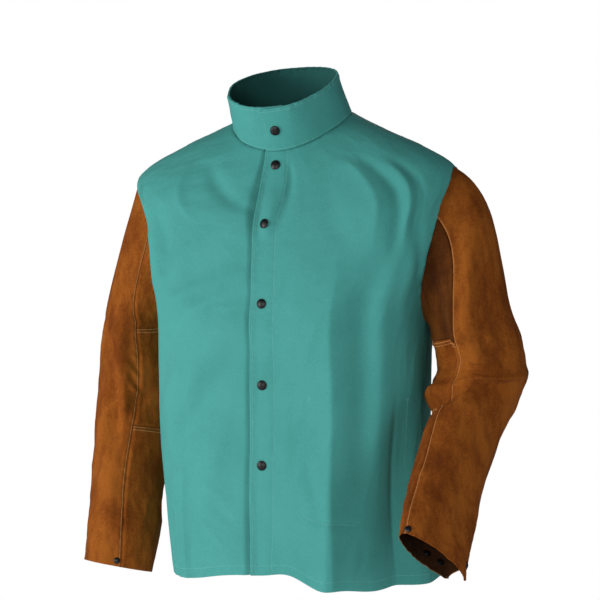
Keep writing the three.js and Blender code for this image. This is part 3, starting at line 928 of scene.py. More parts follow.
@dataclass(frozen=True)
class SuedeFinish:
    """Napped suede, mottled where the nap lies differently."""

    name: str
    dark: Colour  # where the nap is brushed down
    middle: Colour  # over most of the hide
    light: Colour  # where the nap stands

    def make(self) -> bpy.types.Material:
        """Builds the material.

        Returns:
            The material.
        """
        shader = Shader(self.name)
        place = shader.place()
        stretched = shader.squeezed(place, 0.55)
        patches = shader.noise(stretched, 14.0, 6.0, 0.6)
        streaks = shader.noise(shader.squeezed(place, 0.4), 60.0, 4.0, 0.6)
        tufts = shader.noise(place, 260.0, 4.0, 0.7)
        fine = shader.sum("MULTIPLY", shader.sum("ADD", tufts, streaks), 0.4)
        nap = shader.sum("ADD", patches, fine)
        normal = shader.bump(shader.noise(stretched, 46.0, 4.0, 0.6), 0.5, 0.004)
        normal = shader.bump(shader.noise(place, 140.0, 4.0, 0.6), 0.4, 0.0016, normal)
        return shader.dress({
            "Base Color": shader.ramp(nap, (0.74, self.dark), (0.88, self.middle), (1.0, self.light)),
            "Normal": shader.bump(shader.noise(place, 900.0, 2.0, 0.6), 0.5, 0.0005, normal),
            "Roughness": 0.97,
            "Specular IOR Level": 0.1,
            "Sheen Weight": 0.12,
            "Sheen Roughness": 0.45,
            "Sheen Tint": (*self.light, 1),
        })


@dataclass(frozen=True)
class FibreFinish:
    """Thread, or the fuzzy cut edge of a hide."""

    name: str
    dark: Colour
    light: Colour
    scale: float  # how fine its variation is, in lumps to the metre

    def make(self) -> bpy.types.Material:
        """Builds the material.

        Returns:
            The material.
        """
        shader = Shader(self.name)
        fibres = shader.noise(shader.place(), self.scale, 3.0)
        return shader.dress({
            "Base Color": shader.ramp(fibres, (0.35, self.dark), (0.65, self.light)),
            "Normal": shader.bump(fibres, 0.4, 0.0004),
            "Roughness": 0.8,
            "Specular IOR Level": 0.2,
        })


@dataclass(frozen=True)
class EnamelFinish:
    """Black enamel on a pressed metal cap, duller where hands have worn it."""

    name: str
    black: Colour  # of the enamel
    worn: Colour  # where it has rubbed
    gloss: tuple[float, float] = (0.38, 0.58)  # roughness of the enamel and of what has rubbed

    def make(self) -> bpy.types.Material:
        """Builds the material.

        Returns:
            The material.
        """
        shader = Shader(self.name)
        rubbed = shader.noise(shader.place(), 380.0, 5.0, 0.65)
        smooth, dull = ((rough,) * 3 for rough in self.gloss)
        return shader.dress({
            "Base Color": shader.ramp(rubbed, (0.5, self.black), (0.78, self.worn)),
            "Roughness": shader.ramp(rubbed, (0.4, smooth), (0.75, dull)),
            "Normal": shader.bump(rubbed, 0.08, 0.0003),
            "Metallic": 0.2,
            "Specular IOR Level": 0.3,
            "Coat Weight": 0.15,
            "Coat Roughness": 0.32,
        })


Finish = CottonFinish | SuedeFinish | FibreFinish | EnamelFinish
COTTON = CottonFinish("green_cotton", srgb(66, 145, 140), srgb(76, 158, 153))
# Cotton darkened to paint the shade on the inner faces of the body and collar; COTTONS pairs it with the
# outer cotton
COTTON_PAINTED_SHADE = CottonFinish("green_cotton_painted_shade", srgb(34, 86, 82), srgb(40, 94, 90))
COTTONS = (COTTON, COTTON_PAINTED_SHADE)
SUEDE = SuedeFinish("brown_suede", srgb(108, 54, 16), srgb(129, 69, 21), srgb(147, 83, 28))
# Suede darkened to paint the shade that falls on the inner face of the sleeves and cuffs
SUEDE_PAINTED_SHADE = SuedeFinish("suede_inside_painted_shade", srgb(38, 22, 12), srgb(52, 31, 16), srgb(66, 40, 21))
# Suede darkened to paint the deep shade on the left upper arm's under panel, between the arm and the body
SUEDE_UNDER_ARM_PAINTED_SHADE = SuedeFinish("suede_under_arm_painted_shade", srgb(64, 32, 10), srgb(80, 42, 13), srgb(96, 54, 18))
RAW_EDGE = FibreFinish("raw_suede_edge", srgb(150, 98, 54), srgb(196, 148, 100), 900.0)
COTTON_THREAD = FibreFinish("green_thread", srgb(92, 168, 160), srgb(124, 194, 186), 1500.0)
SUEDE_THREAD = FibreFinish("pale_thread", srgb(182, 126, 76), srgb(218, 168, 114), 1500.0)
ENAMEL = EnamelFinish("black_enamel", srgb(10, 8, 12), srgb(28, 22, 25))
MADE: dict[str, bpy.types.Material] = {}


def material_of(finish: Finish) -> bpy.types.Material:
    """The material of a finish, made once.

    Args:
        finish: The finish.

    Returns:
        The material.
    """
    if finish.name not in MADE:
        MADE[finish.name] = finish.make()
    return MADE[finish.name]


# Meshes

SHARP = math.radians(55)  # angle from which an edge of a mesh isn't smoothed
FINE = 3.0  # width beside an edge that has close steps
CLOSE = np.array([0, 0.07, 0.25, 0.55])  # those steps, as shares of the width


def make_object(
    name: str,
    points: Array,
    faces: Array,
    materials: list[bpy.types.Material],
    which: Array | None = None,
    uv: Array | None = None,
) -> bpy.types.Object:
    """Makes a smooth mesh object.

    Args:
        name: The object's name.
        points: Vertices in millimetres.
        faces: Vertex numbers, the same count for every face.
        materials: The materials.
        which: Number of each face's material.
        uv: Cloth coordinates of each vertex.

    Returns:
        The object.
    """
    mesh = bpy.data.meshes.new(name)
    mesh.from_pydata((points * MM).tolist(), [], faces.tolist())
    for material in materials:
        mesh.materials.append(material)
    if which is not None:
        mesh.polygons.foreach_set("material_index", which.astype(np.int32))
    if uv is not None:
        layer = mesh.uv_layers.new(name="cloth")
        corners = np.zeros(len(mesh.loops), np.int32)
        mesh.loops.foreach_get("vertex_index", corners)
        layer.data.foreach_set("uv", uv[corners].astype(np.float32).ravel())
    mesh.shade_smooth()
    mesh.set_sharp_from_angle(angle=SHARP)
    made = bpy.data.objects.new(name, mesh)
    bpy.context.scene.collection.objects.link(made)
    return made


def rule(steps: int, length: float) -> Array:
    """Places from 0 to 1 along a side, close together near both ends.

    Args:
        steps: Even steps between the ends.
        length: The side's length in millimetres.

    Returns:
        The places.
    """
    near, fine = CLOSE * FINE / length, FINE / length
    return np.concatenate([near, np.linspace(fine, 1 - fine, steps), 1 - near[::-1]])


@dataclass(frozen=True)
class Thread:
    """Sewing thread, laid as rows of separate stitches."""

    finish: FibreFinish
    pitch: float = 3.2  # from one stitch to the next, in millimetres
    length: float = 2.7  # of a stitch
    radius: float = 0.38
    sides: int = 5  # of its section
    spine = Table(
        "forward rise swell", (-0.5, -0.9, 0.5), (-0.28, 0.35, 1.0), (0.28, 0.35, 1.0), (0.5, -0.9, 0.5)
    )
    probe = 0.4  # step for measuring a line's direction

    def sew(self, points: Array, normals: Array) -> tuple[Array, Array]:
        """Lays stitches along a line on a surface.

        Args:
            points: The line.
            normals: The surface's normals along it.

        Returns:
            Vertices and faces.
        """
        steps = np.linalg.norm(np.diff(points, axis=0), axis=1)
        run = np.concatenate([[0], np.cumsum(steps)])
        middles = np.arange(self.pitch / 2, run[-1] - self.pitch / 4, self.pitch)
        read = lambda values, at: np.stack([np.interp(at, run, values[:, i]) for i in range(3)], axis=-1)
        along = unit(read(points, middles + self.probe) - read(points, middles - self.probe))
        up = read(normals, middles)
        up = unit(up - along * np.sum(up * along, axis=-1, keepdims=True))
        across = np.cross(along, up)
        place = read(points, middles)
        turn = np.arange(self.sides) * 2 * math.pi / self.sides
        spokes = up[:, None] * np.cos(turn)[:, None] + across[:, None] * np.sin(turn)[:, None]
        rings = []
        for forward, rise, swell in self.spine.rows:
            centre = place + along * (forward * self.length) + up * (rise * self.radius)
            rings.append(centre[:, None] + spokes * (self.radius * swell))
        ring, side = np.meshgrid(np.arange(len(rings) - 1), np.arange(self.sides), indexing="ij")
        after = (side + 1) % self.sides
        at = lambda r, s: (r * self.sides + s).ravel()
        quads = np.stack([at(ring, side), at(ring + 1, side), at(ring + 1, after), at(ring, after)], axis=-1)
        each = len(rings) * self.sides
        faces = (np.arange(len(middles))[:, None, None] * each + quads[None]).reshape(-1, 4)
        return np.stack(rings, axis=1).reshape(-1, 3), faces


@dataclass
class Stitching:
    """Rows of stitches gathered into one piece."""

    name: str
    thread: Thread
    slot: Slot  # the material slot of the panels that it sews
    points: list[Array] = field(default_factory=list)
    faces: list[Array] = field(default_factory=list)
    count: int = 0

    def add(self, line: Seat) -> None:
        """Sews along one line, given by its points and normals.

        Args:
            line: The line.
        """
        points, faces = self.thread.sew(*line)
        self.points.append(points)
        self.faces.append(faces + self.count)
        self.count += len(points)

    def build(self) -> None:
        """Makes the piece."""
        material = material_of(self.thread.finish)
        made = make_object(self.name, np.concatenate(self.points), np.concatenate(self.faces), [material])
        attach(made, ROOT)
        each = len(self.thread.spine.rows) * self.thread.sides
        LOG.info("%s: %d stitches", self.name, self.count // each)


@dataclass(frozen=True)
class Swell:
    """A rise or dip of the cloth beside an edge."""

    height: float
    width: float
    away: float = 0.0  # from the edge

    def at(self, reach: Array) -> Array:
        """Its height at distances from the edge."""
        return self.height * bell(reach - self.away, self.width)


SEAM_DIP = Swell(-1.1, 2.2)
SEAM_SWELL = {Slot.SUEDE: Swell(1.3, 4.0, 5.0), Slot.COTTON: Swell(0.3, 4.0, 5.0)}
SEAM_PUCKER = Swell(0.55, 9.0)
RAW_WAVE = Swell(0.9, 7.0)
STITCH_DENT = Swell(-0.4, 1.1)
STITCH_PUCKER = Swell(0.35, 6.0)
EDGE_RADIUS = {EdgeKind.FOLDED: 0.9, EdgeKind.RAW: 0.4}  # against the wall
EDGE_THINNEST = 0.03  # share of the wall, squared
PUCKER = Noise(5)
PUCKER_WAVES = Table("length depth start strength", (7.0, 16.0, 0.0, 1.0), (3.4, 9.0, 9.0, 0.5))


@dataclass(frozen=True)
class EdgeWork:
    """How one edge of a panel is finished."""

    edge: Edge
    kind: EdgeKind  # folded over, sewn to a neighbour, laid flush with it or cut raw
    rows: tuple[float, ...] = ()  # distances of the stitch rows from the edge, in millimetres


@dataclass
class Panel:
    """One cut piece of cloth or hide, with a wall, worked edges and stitch rows."""

    name: str  # the name of the node that it replaces
    surface: Surface
    u: Array  # places round the surface, one line for each row
    v: Array  # rows of the surface
    wall: float  # thickness in millimetres
    slot: Slot
    works: tuple[EdgeWork, ...]  # how its edges are finished
    stitching: Stitching  # what its stitch rows are gathered in
    finishes: tuple[Finish, ...]  # finishes of its outer face, its inner face and its raw edges; the inner face's finish is darkened as painted shade

    def __post_init__(self) -> None:
        """Works out the panel's outer face."""
        base = self.surface.form(self.u, self.v)
        across = np.linalg.norm(np.diff(base, axis=1), axis=-1)
        down = np.linalg.norm(np.diff(base, axis=0), axis=-1)
        start = np.concatenate([np.zeros((len(base), 1)), np.cumsum(across, axis=1)], axis=1)
        top = np.concatenate([np.zeros((1, base.shape[1])), np.cumsum(down, axis=0)], axis=0)
        self.reach = {Edge.START: start, Edge.END: start[:, -1:] - start}
        self.reach |= {Edge.TOP: top, Edge.FOOT: top[-1:] - top}
        self.thickness = np.full(self.u.shape, self.wall)
        height = self.surface.relief(self.u, self.v)
        for work in self.works:
            height = height + self.worked(work)
        height -= (self.wall - self.thickness) / 2
        self.outer = base + self.surface.normal(self.u, self.v) * height[..., None]
        along_u, along_v = np.gradient(self.outer, axis=1), np.gradient(self.outer, axis=0)
        self.normals = unit(np.cross(along_u, along_v)) * self.surface.side

    def worked(self, work: EdgeWork) -> Array:
        """Relief along one edge: its rounding, its pull into a seam and the dents of its stitches.

        Args:
            work: How the edge is finished.

        Returns:
            The height in millimetres.
        """
        reach = self.reach[work.edge]
        along = self.reach[Edge.TOP if work.edge in (Edge.START, Edge.END) else Edge.START]
        height = np.zeros_like(reach)
        waves = sum(
            strength * PUCKER.at(along / length + start, reach / depth)
            for length, depth, start, strength in PUCKER_WAVES.rows
        )
        if work.kind is EdgeKind.SEWN:
            height += SEAM_DIP.at(reach) + SEAM_SWELL[self.slot].at(reach) + waves * SEAM_PUCKER.at(reach)
        elif work.kind is not EdgeKind.FLUSH:
            radius = self.wall * EDGE_RADIUS[work.kind]
            share = np.clip(1 - (1 - np.clip(reach / radius, 0, 1)) ** 2, EDGE_THINNEST, 1)
            self.thickness = self.thickness * np.sqrt(share)
        if work.kind is EdgeKind.RAW:
            height += waves * RAW_WAVE.at(reach)
        for row in work.rows:
            height += STITCH_DENT.at(reach - row) + waves * STITCH_PUCKER.at(reach - row)
        return height

    def line(self, edge: Edge, distance: float) -> Seat:
        """A line on the outer face at a distance from one edge.

        Args:
            edge: The edge.
            distance: The distance in millimetres.

        Returns:
            Points and normals along the line.
        """
        reach, points, normals = self.reach[edge], self.outer, self.normals
        if edge in (Edge.TOP, Edge.FOOT):
            reach, points, normals = (np.swapaxes(a, 0, 1) for a in (reach, points, normals))
        if edge in (Edge.END, Edge.FOOT):
            reach, points, normals = reach[:, ::-1], points[:, ::-1], normals[:, ::-1]
        read = lambda values: np.array(
            [[np.interp(distance, reach[k], values[k, :, i]) for i in range(3)] for k in range(len(reach))]
        )
        return read(points), unit(read(normals))

    def build(self) -> None:
        inner = self.outer - self.normals * self.thickness[..., None]
        rows, columns = self.u.shape
        out, back = np.arange(2 * rows * columns).reshape(2, rows, columns)
        edges = {
            Edge.START: (out[:, 0], back[:, 0]),
            Edge.END: (out[::-1, -1], back[::-1, -1]),
            Edge.TOP: (out[0, ::-1], back[0, ::-1]),
            Edge.FOOT: (out[-1], back[-1]),
        }
        quads = [
            np.stack([out[:-1, :-1], out[1:, :-1], out[1:, 1:], out[:-1, 1:]], axis=-1).reshape(-1, 4),
            np.stack([back[:-1, :-1], back[:-1, 1:], back[1:, 1:], back[1:, :-1]], axis=-1).reshape(-1, 4),
        ]
        which = [np.zeros(len(quads[0])), np.ones(len(quads[1]))]
        raw = {work.edge for work in self.works if work.kind is EdgeKind.RAW}
        for edge, (first, second) in edges.items():
            rim = np.stack([first[:-1], second[:-1], second[1:], first[1:]], axis=-1)
            quads.append(rim)
            which.append(np.full(len(rim), 2.0 if edge in raw else 0.0))
        faces = np.concatenate(quads)
        if self.surface.side > 0:
            faces = faces[:, ::-1]
        points = np.concatenate([self.outer.reshape(-1, 3), inner.reshape(-1, 3)])
        cloth = np.stack([self.u * self.surface.mm_per_u, self.v * self.surface.mm_per_v], axis=-1)
        cloth = np.tile(cloth.reshape(-1, 2) * MM, (2, 1))
        materials = [material_of(finish) for finish in self.finishes]
        made = make_object(self.name, points, faces, materials, np.concatenate(which), cloth)
        made.name = f"cloth_{self.name}"
        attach(made, ROOT)
        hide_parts(self.name)
        width, length = self.reach[Edge.START][:, -1].mean() * MM, self.reach[Edge.TOP][-1].mean() * MM
        area = self.cut_area()
        for work in self.works:
            for row in work.rows:
                self.stitching.add(self.line(work.edge, row))
        LOG.info("%s: %.3f by %.3f m, %.4f square metres", made.name, width, length, area)

    def cut_area(self) -> float:
        """Area of the outer face in square metres."""
        a, b = self.outer[1:, 1:] - self.outer[:-1, :-1], self.outer[1:, :-1] - self.outer[:-1, 1:]
        return float(np.linalg.norm(np.cross(a, b), axis=-1).sum() / 2 * MM * MM)


# Sub-assemblies

# Stitched lines of the inside pocket, as angles and rows on the body
POCKET_ROWS = (((17, 7.26), (25.5, 7.28), (39, 7.31)), ((71, 6.0), (72.5, 6.4), (73, 6.75)))
UPRIGHT_TACK = tuple(((angle, 5.88), (angle, 5.97)) for angle in (17.75, 18, 18.25))
LEVEL_TACK = tuple(((69.5, row), (72.5, row)) for row in (5.992, 6.0, 6.008))


@dataclass
class Body:
    """The cotton fronts, the back and the placket."""

    wall: float = 1.6  # thickness of the cotton
    placket_wall: float = 2.0  # thickness of the placket
    placket_seam: float = 0.4  # how far the placket's sewn edge reaches over the left front
    hem_row: float = 15.0  # distance of the hem's stitches from its edge
    free_row: float = 5.0  # the same at the placket's free edge
    joined_row: float = 1.6  # the same at its sewn edge
    left: tuple[float, float] = (21, 32)  # armhole reach before and behind the wearer's left side, in degrees
    right: tuple[float, float] = (22, 36)  # the same on the right
    surface: BodySurface = field(default_factory=BodySurface)
    # The surface that the right front follows, under the placket
    lapped: LappedSurface = field(default_factory=lambda: LappedSurface(sink=4.2, hollow=4.0))
    # The surface that the placket follows
    closure: LappedSurface = field(default_factory=lambda: LappedSurface(proud=0.6, lift=1.6))
    stitching: Stitching = field(
        default_factory=lambda: Stitching("stitching_body", Thread(COTTON_THREAD), Slot.COTTON)
    )

    def rows(self) -> Array:
        """Rows of the panels.

        Returns:
            Rows, even down the length and close together at the armhole's ends and at the edges.
        """
        hole = ARMHOLE_MIDDLE - ARMHOLE_HALF * np.cos(np.linspace(0, np.pi, 80))
        yoke = ARMHOLE_TOP * rule(steps=40, length=230)
        skirt = ARMHOLE_FOOT + (self.surface.last_row - ARMHOLE_FOOT) * rule(steps=100, length=430)
        return np.unique(np.concatenate([yoke, hole, skirt]))

    def cut(self, rows: Array, span: float) -> Array:
        """How far an armhole cuts in from the side.

        Args:
            rows: Rows of the body.
            span: The furthest that it cuts, in degrees.

        Returns:
            Angles in degrees.
        """
        return span * np.sqrt(np.clip(1 - ((rows - ARMHOLE_MIDDLE) / ARMHOLE_HALF) ** 2, 0, 1))

    def front(self, sign: int, before: float) -> tuple[Array, Array]:
        """Places of one front panel.

        Args:
            sign: 1 for the wearer's left, or -1.
            before: Degrees that the armhole reaches before the side.

        Returns:
            Angles and rows.
        """
        rows = self.rows()[:, None]
        t = rule(steps=120, length=330)[None]
        start = self.surface.across(np.full_like(rows, self.closure.half), rows)
        side = sign * 90 - self.surface.twist(rows)
        u = start + (side - start) * t - sign * self.cut(rows, before) * t * t
        return (u if sign > 0 else u[:, ::-1]), np.broadcast_to(rows, u.shape)

    def back(self) -> tuple[Array, Array]:
        """Places of the back panel.

        Returns:
            Angles and rows.
        """
        rows = self.rows()[:, None]
        t = 2 * rule(steps=170, length=660)[None] - 1
        cut = np.where(t < 0, self.cut(rows, self.left[1]), self.cut(rows, self.right[1]))
        u = 180 - self.surface.twist(rows) + 90 * t - cut * t * np.abs(t)
        return u, np.broadcast_to(rows, u.shape)

    def strip(self) -> tuple[Array, Array]:
        """Places of the placket.

        Returns:
            Angles and rows.
        """
        rows = np.unique(np.concatenate([self.rows(), np.linspace(0, self.surface.last_row, 240)]))[:, None]
        width = 2 * self.closure.half
        across = -self.closure.half + rule(steps=14, length=width)[None] * (width + self.placket_seam)
        u = self.surface.across(across + 0 * rows, rows)
        return u, np.broadcast_to(rows, u.shape)

    def build(self) -> None:
        """Makes the four pieces and their stitching."""
        hem = EdgeWork(Edge.FOOT, EdgeKind.FOLDED, (self.hem_row,))
        neck = EdgeWork(Edge.TOP, EdgeKind.SEWN)
        start, end = EdgeWork(Edge.START, EdgeKind.SEWN), EdgeWork(Edge.END, EdgeKind.SEWN)
        free = EdgeWork(Edge.START, EdgeKind.FOLDED, (self.free_row,))
        joined = EdgeWork(Edge.END, EdgeKind.FLUSH, (self.joined_row,))
        cuts = (
            ("front_left", self.surface, self.front(1, self.left[0]), self.wall, (neck, hem, end)),
            ("front_right", self.lapped, self.front(-1, self.right[0]), self.wall, (neck, hem, start)),
            ("back", self.surface, self.back(), self.wall, (neck, hem, start, end)),
            ("placket", self.closure, self.strip(), self.placket_wall, (neck, hem, free, joined)),
        )
        for name, surface, (u, v), wall, works in cuts:
            Panel(name, surface, u, v, wall, Slot.COTTON, works, self.stitching, COTTONS).build()
        for places in POCKET_ROWS + UPRIGHT_TACK + LEVEL_TACK:
            self.stitching.add(self.mark(*places))
        self.stitching.build()

    def mark(self, *places: tuple[float, float]) -> Seat:
        """A line over the body through places given as angles and rows.

        Args:
            places: The places.

        Returns:
            Points and normals along the line.
        """
        path = np.array(places, float)
        t = np.linspace(0, len(path) - 1, 60)
        u, v = (np.interp(t, np.arange(len(path)), path[:, i]) for i in range(2))
        return self.surface.seats(u, v)

    def seat(self, height: float) -> Seat:
        """Point and normal on the placket at a height in millimetres."""
        return self.closure.seat(0, self.surface.row_at_height(0, height))


@dataclass
class Collar:
    """The stand collar."""

    wall: float = 3.0  # thickness of its folded cloth
    overlap: float = 0.05  # rows that it reaches below the neckline
    snap_row: float = 0.95  # row of its snap
    top_row: float = 4.0  # distance of the stitches from its top
    edge_row: float = 5.0  # the same from its other edges
    surface: CollarSurface = field(default_factory=CollarSurface)
    stitching: Stitching = field(
        default_factory=lambda: Stitching("stitching_collar", Thread(COTTON_THREAD), Slot.COTTON)
    )

    def build(self) -> None:
        """Makes the collar and its stitching."""
        lap, last_row = self.surface.lap, len(COLLAR_RINGS.rows) - 1
        round_it = -lap + (360 + 2 * lap) * rule(steps=300, length=640)
        up_it = -self.overlap + (last_row + self.overlap) * rule(steps=36, length=80)
        u, v = np.meshgrid(round_it, up_it)
        works = (
            EdgeWork(Edge.TOP, EdgeKind.FOLDED, (self.top_row,)),
            EdgeWork(Edge.FOOT, EdgeKind.SEWN, (self.edge_row,)),
            EdgeWork(Edge.START, EdgeKind.FOLDED, (self.edge_row,)),
            EdgeWork(Edge.END, EdgeKind.FOLDED, (self.edge_row,)),
        )
        Panel("collar", self.surface, u, v, self.wall, Slot.COTTON, works, self.stitching, COTTONS).build()
        self.stitching.build()

    def seat(self) -> Seat:
        """Point and normal at the collar's snap."""
        return self.surface.seat(0, self.snap_row)


@dataclass(frozen=True)
class CuffSnap:
    """Where one snap of a cuff sits."""

    seam: str  # the long seam that it lies beside, front or back
    away: float  # degrees from that seam
    up: float  # distance up from the cuff's edge
    inside: bool = False  # whether it shows on the inner face


@dataclass
class Sleeve:
    """One suede sleeve: a top panel and three under panels."""

    name: str  # which side it is on
    surface: SleeveSurface
    vent: float  # degrees by which the under panel stops short of the back seam at the cuff
    snaps: tuple[CuffSnap, ...]
    under_upper_finish: SuedeFinish  # finish of the under panel at the upper arm; on the left sleeve it is darkened to paint the shade between the arm and the body
    wall: float = 2.0  # thickness of the hide
    cross_seams: tuple[float, float] = (1.15, 3.75)  # rows of the seams across the under side
    vent_rows: float = 0.8  # how far up the vent runs
    stitch_radius: float = 0.52  # radius of the thread
    seam_row: float = 3.0  # distance of the stitches from a seam
    second_row: float = 8.0  # distance of the second row from a cross seam
    inner_gap: float = 0.8  # clearance of a snap under the hollow inner face

    def opening(self, v: Array) -> Array:
        """The vent's width, as an angle."""
        return self.vent * smoothstep(v, self.surface.last_row - self.vent_rows, self.surface.last_row)

    def build(self) -> None:
        """Makes the four panels and their stitching."""
        thread = Thread(SUEDE_THREAD, radius=self.stitch_radius)
        stitching = Stitching(f"stitching_sleeve_{self.name}", thread, Slot.SUEDE)
        last, (upper, lower) = self.surface.last_row, self.cross_seams
        raw = EdgeWork(Edge.FOOT, EdgeKind.RAW)
        sewn = {edge: EdgeWork(edge, EdgeKind.SEWN) for edge in Edge}
        stitched = {edge: EdgeWork(edge, EdgeKind.SEWN, (self.seam_row,)) for edge in Edge}
        crossed = EdgeWork(Edge.TOP, EdgeKind.SEWN, (self.seam_row, self.second_row))
        rows = last * rule(steps=150, length=640)[:, None]
        start, end = self.surface.seam("back", rows), self.surface.seam("front", rows)
        u = start + (end - start) * rule(steps=84, length=240)[None]
        cuts = [("top", u, rows, (stitched[Edge.START], stitched[Edge.END], raw))]
        bands = (
            ("under_upper", 0.0, upper, 44),
            ("under_elbow", upper, lower, 62),
            ("under_lower", lower, last, 66),
        )
        for name, first, final, steps in bands:
            length = self.surface.mm_per_v * (final - first)
            rows = first + (final - first) * rule(steps, length)[:, None]
            start = self.surface.seam("front", rows)
            end = 360 + self.surface.seam("back", rows) - self.opening(rows)
            u = start + (end - start) * rule(steps=64, length=200)[None]
            top, foot = crossed if first else sewn[Edge.TOP], raw if final == last else sewn[Edge.FOOT]
            cuts.append((name, u, rows, (sewn[Edge.START], sewn[Edge.END], top, foot)))
        for name, u, rows, works in cuts:
            v = np.broadcast_to(rows, u.shape)
            # The under panel at the upper arm takes the sleeve's own finish, darkened as painted shade on the
            # left sleeve; the inner face is darkened as painted shade too
            finishes = (self.under_upper_finish if name == "under_upper" else SUEDE, SUEDE_PAINTED_SHADE, RAW_EDGE)
            node = f"sleeve_{self.name}_{name}"
            Panel(node, self.surface, u, v, self.wall, Slot.SUEDE, works, stitching, finishes).build()
        stitching.build()

    def seat(self, snap: CuffSnap) -> Seat:
        """Point and normal at one of the cuff's snaps.

        Args:
            snap: The snap.

        Returns:
            The point and the normal.
        """
        row = self.surface.last_row - snap.up / self.surface.mm_per_v
        seam = self.surface.seam(snap.seam, np.array([row]))[0]
        point, normal = self.surface.seat(seam + snap.away + (360 if snap.inside else 0), row)
        return (point - normal * (self.wall + self.inner_gap), -normal) if snap.inside else (point, normal)


# Shares of the radius and the height, from the rim to the middle
SNAP_PROFILES = {
    SnapKind.CAP: (
        (0.90, 0.0), (0.97, 0.05), (1.0, 0.2), (0.985, 0.36), (0.93, 0.5), (0.84, 0.6), (0.80, 0.62),
        (0.76, 0.65), (0.66, 0.78), (0.5, 0.9), (0.33, 0.97), (0.16, 0.99), (0.0, 1.0),
    ),
    SnapKind.STUD: (
        (0.90, 0.0), (1.0, 0.12), (1.0, 0.3), (0.92, 0.42), (0.74, 0.42), (0.64, 0.3), (0.56, 0.26),
        (0.5, 0.34), (0.47, 0.6), (0.49, 0.8), (0.42, 0.96), (0.22, 1.0), (0.0, 1.0),
    ),
}


@dataclass
class Snap:
    """One half of a snap fastener."""

    node: str  # the node that it replaces
    radius: float  # in millimetres
    dome: float  # height
    kind: SnapKind = SnapKind.CAP  # a domed cap or a ringed stud
    sides: int = 48  # of its round form
    lift: float = 0.3  # clearance over the cloth
    least: float = 0.02  # the least radius, at its middle

    def build(self, seat: Seat) -> None:
        """Makes the snap on its seat.

        Args:
            seat: Point and normal.
        """
        point, normal = seat
        side = unit(np.cross(normal, (0.0, 0.0, 1.0)))
        other = np.cross(normal, side)
        turn = np.arange(self.sides) * 2 * math.pi / self.sides
        spokes = np.cos(turn)[:, None] * side + np.sin(turn)[:, None] * other
        profile = np.array(SNAP_PROFILES[self.kind]) * (self.radius, self.dome)
        rings = [point + normal * (self.lift + up) + spokes * max(reach, self.least) for reach, up in profile]
        number = np.arange(len(rings) * self.sides).reshape(len(rings), self.sides)
        after = np.roll(number, -1, axis=1)
        bands = np.stack([number[:-1], after[:-1], after[1:], number[1:]], axis=-1).reshape(-1, 4)
        made = make_object(f"cap_{self.node}", np.concatenate(rings), bands, [material_of(ENAMEL)])
        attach(made, ROOT)
        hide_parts(self.node)
        LOG.info("%s: %.1f mm across", made.name, 2 * self.radius)


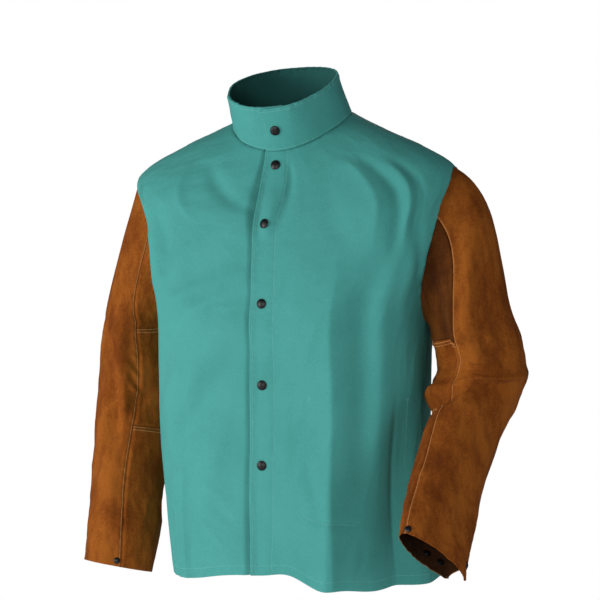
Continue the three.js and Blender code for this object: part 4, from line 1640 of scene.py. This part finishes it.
@dataclass
class Stage:
    """The floor, the lights and the camera."""

    azimuth: float = 22.0  # the camera's angle round the jacket, towards the wearer's left, in degrees
    distance: float = 2.5  # from the jacket's upright axis to the camera
    height: float = -0.308  # the camera's height
    aside: float = 0.013  # how far the camera's axis passes to the right of the jacket's
    focal: float = 2.51  # focal length in image widths
    middle: float = -0.35  # height at which the lights aim
    floor: float = -1.35  # height of the floor
    floor_radius: float = 2.4
    ambient: float = 0.08  # strength of the light from all round

    def build(self) -> None:
        """Makes the floor, the lights, the world and the camera."""
        self.make_floor()
        self.light("key", aim=(-46, 2), away=3.0, size=1.3, power=62, colour=(1.0, 0.99, 0.97))
        self.light("front", aim=(4, 4), away=3.2, size=1.3, power=36, colour=(1.0, 0.995, 0.98))
        self.light("side", aim=(86, 6), away=3.2, size=1.3, power=18, colour=(0.97, 0.985, 1.0))
        self.light("rear", aim=(196, 24), away=3.2, size=1.6, power=20, colour=(1.0, 1.0, 1.0))
        self.make_world()
        self.make_camera()

    def make_floor(self) -> None:
        """Lays a wide pale floor."""
        turn = np.linspace(0, 2 * math.pi, 96, endpoint=False)
        rim = np.stack([np.cos(turn), np.sin(turn)], axis=-1) * self.floor_radius
        points = np.column_stack([rim, np.full(len(rim), self.floor)]) / MM
        pale = Shader("pale_floor").dress({
            "Base Color": (0.9, 0.9, 0.9, 1),
            "Roughness": 0.9,
            "Emission Color": (1, 1, 1, 1),
            "Emission Strength": 0.12,
        })
        make_object("floor", points, np.arange(len(rim))[None], [pale])

    def light(
        self, name: str, aim: tuple[float, float], away: float, size: float, power: float, colour: Colour
    ) -> None:
        """Hangs one soft square light that faces the jacket.

        Args:
            name: Its name.
            aim: Azimuth and elevation in degrees.
            away: Distance in metres.
            size: Width in metres.
            power: Power in watts.
            colour: Its colour.
        """
        data = bpy.data.lights.new(name, "AREA")
        data.size, data.energy, data.color = size, power, colour
        lamp = bpy.data.objects.new(name, data)
        turn, lift = (math.radians(a) for a in aim)
        back = Vector((math.sin(turn) * math.cos(lift), -math.cos(turn) * math.cos(lift), math.sin(lift)))
        lamp.location = Vector((0, 0, self.middle)) + back * away
        lamp.rotation_euler = back.to_track_quat("Z", "Y").to_euler()
        bpy.context.scene.collection.objects.link(lamp)

    def make_world(self) -> None:
        """Surrounds the stage with soft light, behind which the camera sees plain white."""
        world = bpy.data.worlds.new("studio")
        bpy.context.scene.world = world
        world.use_nodes = True
        tree = world.node_tree
        soft, seen = tree.nodes["Background"], tree.nodes.new("ShaderNodeBackground")
        for node, strength in ((soft, self.ambient), (seen, 1.0)):
            node.inputs["Color"].default_value = (1, 1, 1, 1)
            node.inputs["Strength"].default_value = strength
        mix, path = tree.nodes.new("ShaderNodeMixShader"), tree.nodes.new("ShaderNodeLightPath")
        tree.links.new(path.outputs["Is Camera Ray"], mix.inputs["Fac"])
        tree.links.new(soft.outputs["Background"], mix.inputs[1])
        tree.links.new(seen.outputs["Background"], mix.inputs[2])
        tree.links.new(mix.outputs["Shader"], tree.nodes["World Output"].inputs["Surface"])
        bpy.context.scene.view_settings.view_transform = "Standard"

    def make_camera(self) -> None:
        """Places the camera level with the middle of the jacket."""
        data = bpy.data.cameras.new("camera")
        data.sensor_width = 36.0
        data.lens = self.focal * data.sensor_width
        camera = bpy.data.objects.new("camera", data)
        turn = math.radians(self.azimuth)
        right = Vector((math.cos(turn), math.sin(turn), 0))
        back = Vector((math.sin(turn), -math.cos(turn), 0))
        camera.location = back * self.distance + right * self.aside + Vector((0, 0, self.height))
        camera.rotation_euler = back.to_track_quat("Z", "Y").to_euler()
        bpy.context.scene.collection.objects.link(camera)
        bpy.context.scene.camera = camera


SNAP_HEIGHTS = (-91, -187, -314, -443, -570)
FRONT_SNAP = {"radius": 8.0, "dome": 3.4}
CUFF_SNAP = {"radius": 5.5, "dome": 2.8}
LEFT_SNAPS = (
    CuffSnap("front", -10, 9),
    CuffSnap("back", 12, 26),
    CuffSnap("back", -70, 24, inside=True),
    CuffSnap("back", -94, 24, inside=True),
)
RIGHT_SNAPS = (
    CuffSnap("front", -7, 9),
    CuffSnap("back", 14, 24),
    CuffSnap("back", -30, 24, inside=True),
    CuffSnap("back", -52, 24, inside=True),
)


def main() -> None:
    """Builds the jacket's pieces in order, then its stage."""
    body = Body()
    body.build()
    collar = Collar()
    collar.build()
    Snap("snap_collar", **FRONT_SNAP).build(collar.seat())
    for i, height in enumerate(SNAP_HEIGHTS, 1):
        Snap(f"snap_front_{i}", **FRONT_SNAP).build(body.seat(height))
    left = SleeveSurface(
        1, body.surface, LEFT_RINGS, LEFT_FOLDS, *body.left, top_out=2.0, foot_out=0.7, noise=Noise(31)
    )
    right = SleeveSurface(
        -1, body.surface, RIGHT_RINGS, RIGHT_FOLDS, *body.right, top_out=0.3, foot_out=0.6, noise=Noise(37)
    )
    # The left sleeve's under panel at the upper arm takes suede darkened as painted shade
    sleeves = (
        Sleeve("left", left, vent=54, snaps=LEFT_SNAPS, under_upper_finish=SUEDE_UNDER_ARM_PAINTED_SHADE),
        Sleeve("right", right, vent=14, snaps=RIGHT_SNAPS, under_upper_finish=SUEDE),
    )
    for sleeve in sleeves:
        sleeve.build()
        for i, snap in enumerate(sleeve.snaps, 1):
            kind = SnapKind.STUD if snap.inside else SnapKind.CAP
            Snap(f"snap_cuff_{sleeve.name}_{i}", **CUFF_SNAP, kind=kind).build(sleeve.seat(snap))
    Stage().build()


if __name__ == "__main__":
    logging.basicConfig(level=logging.INFO, format="%(message)s")
    main()
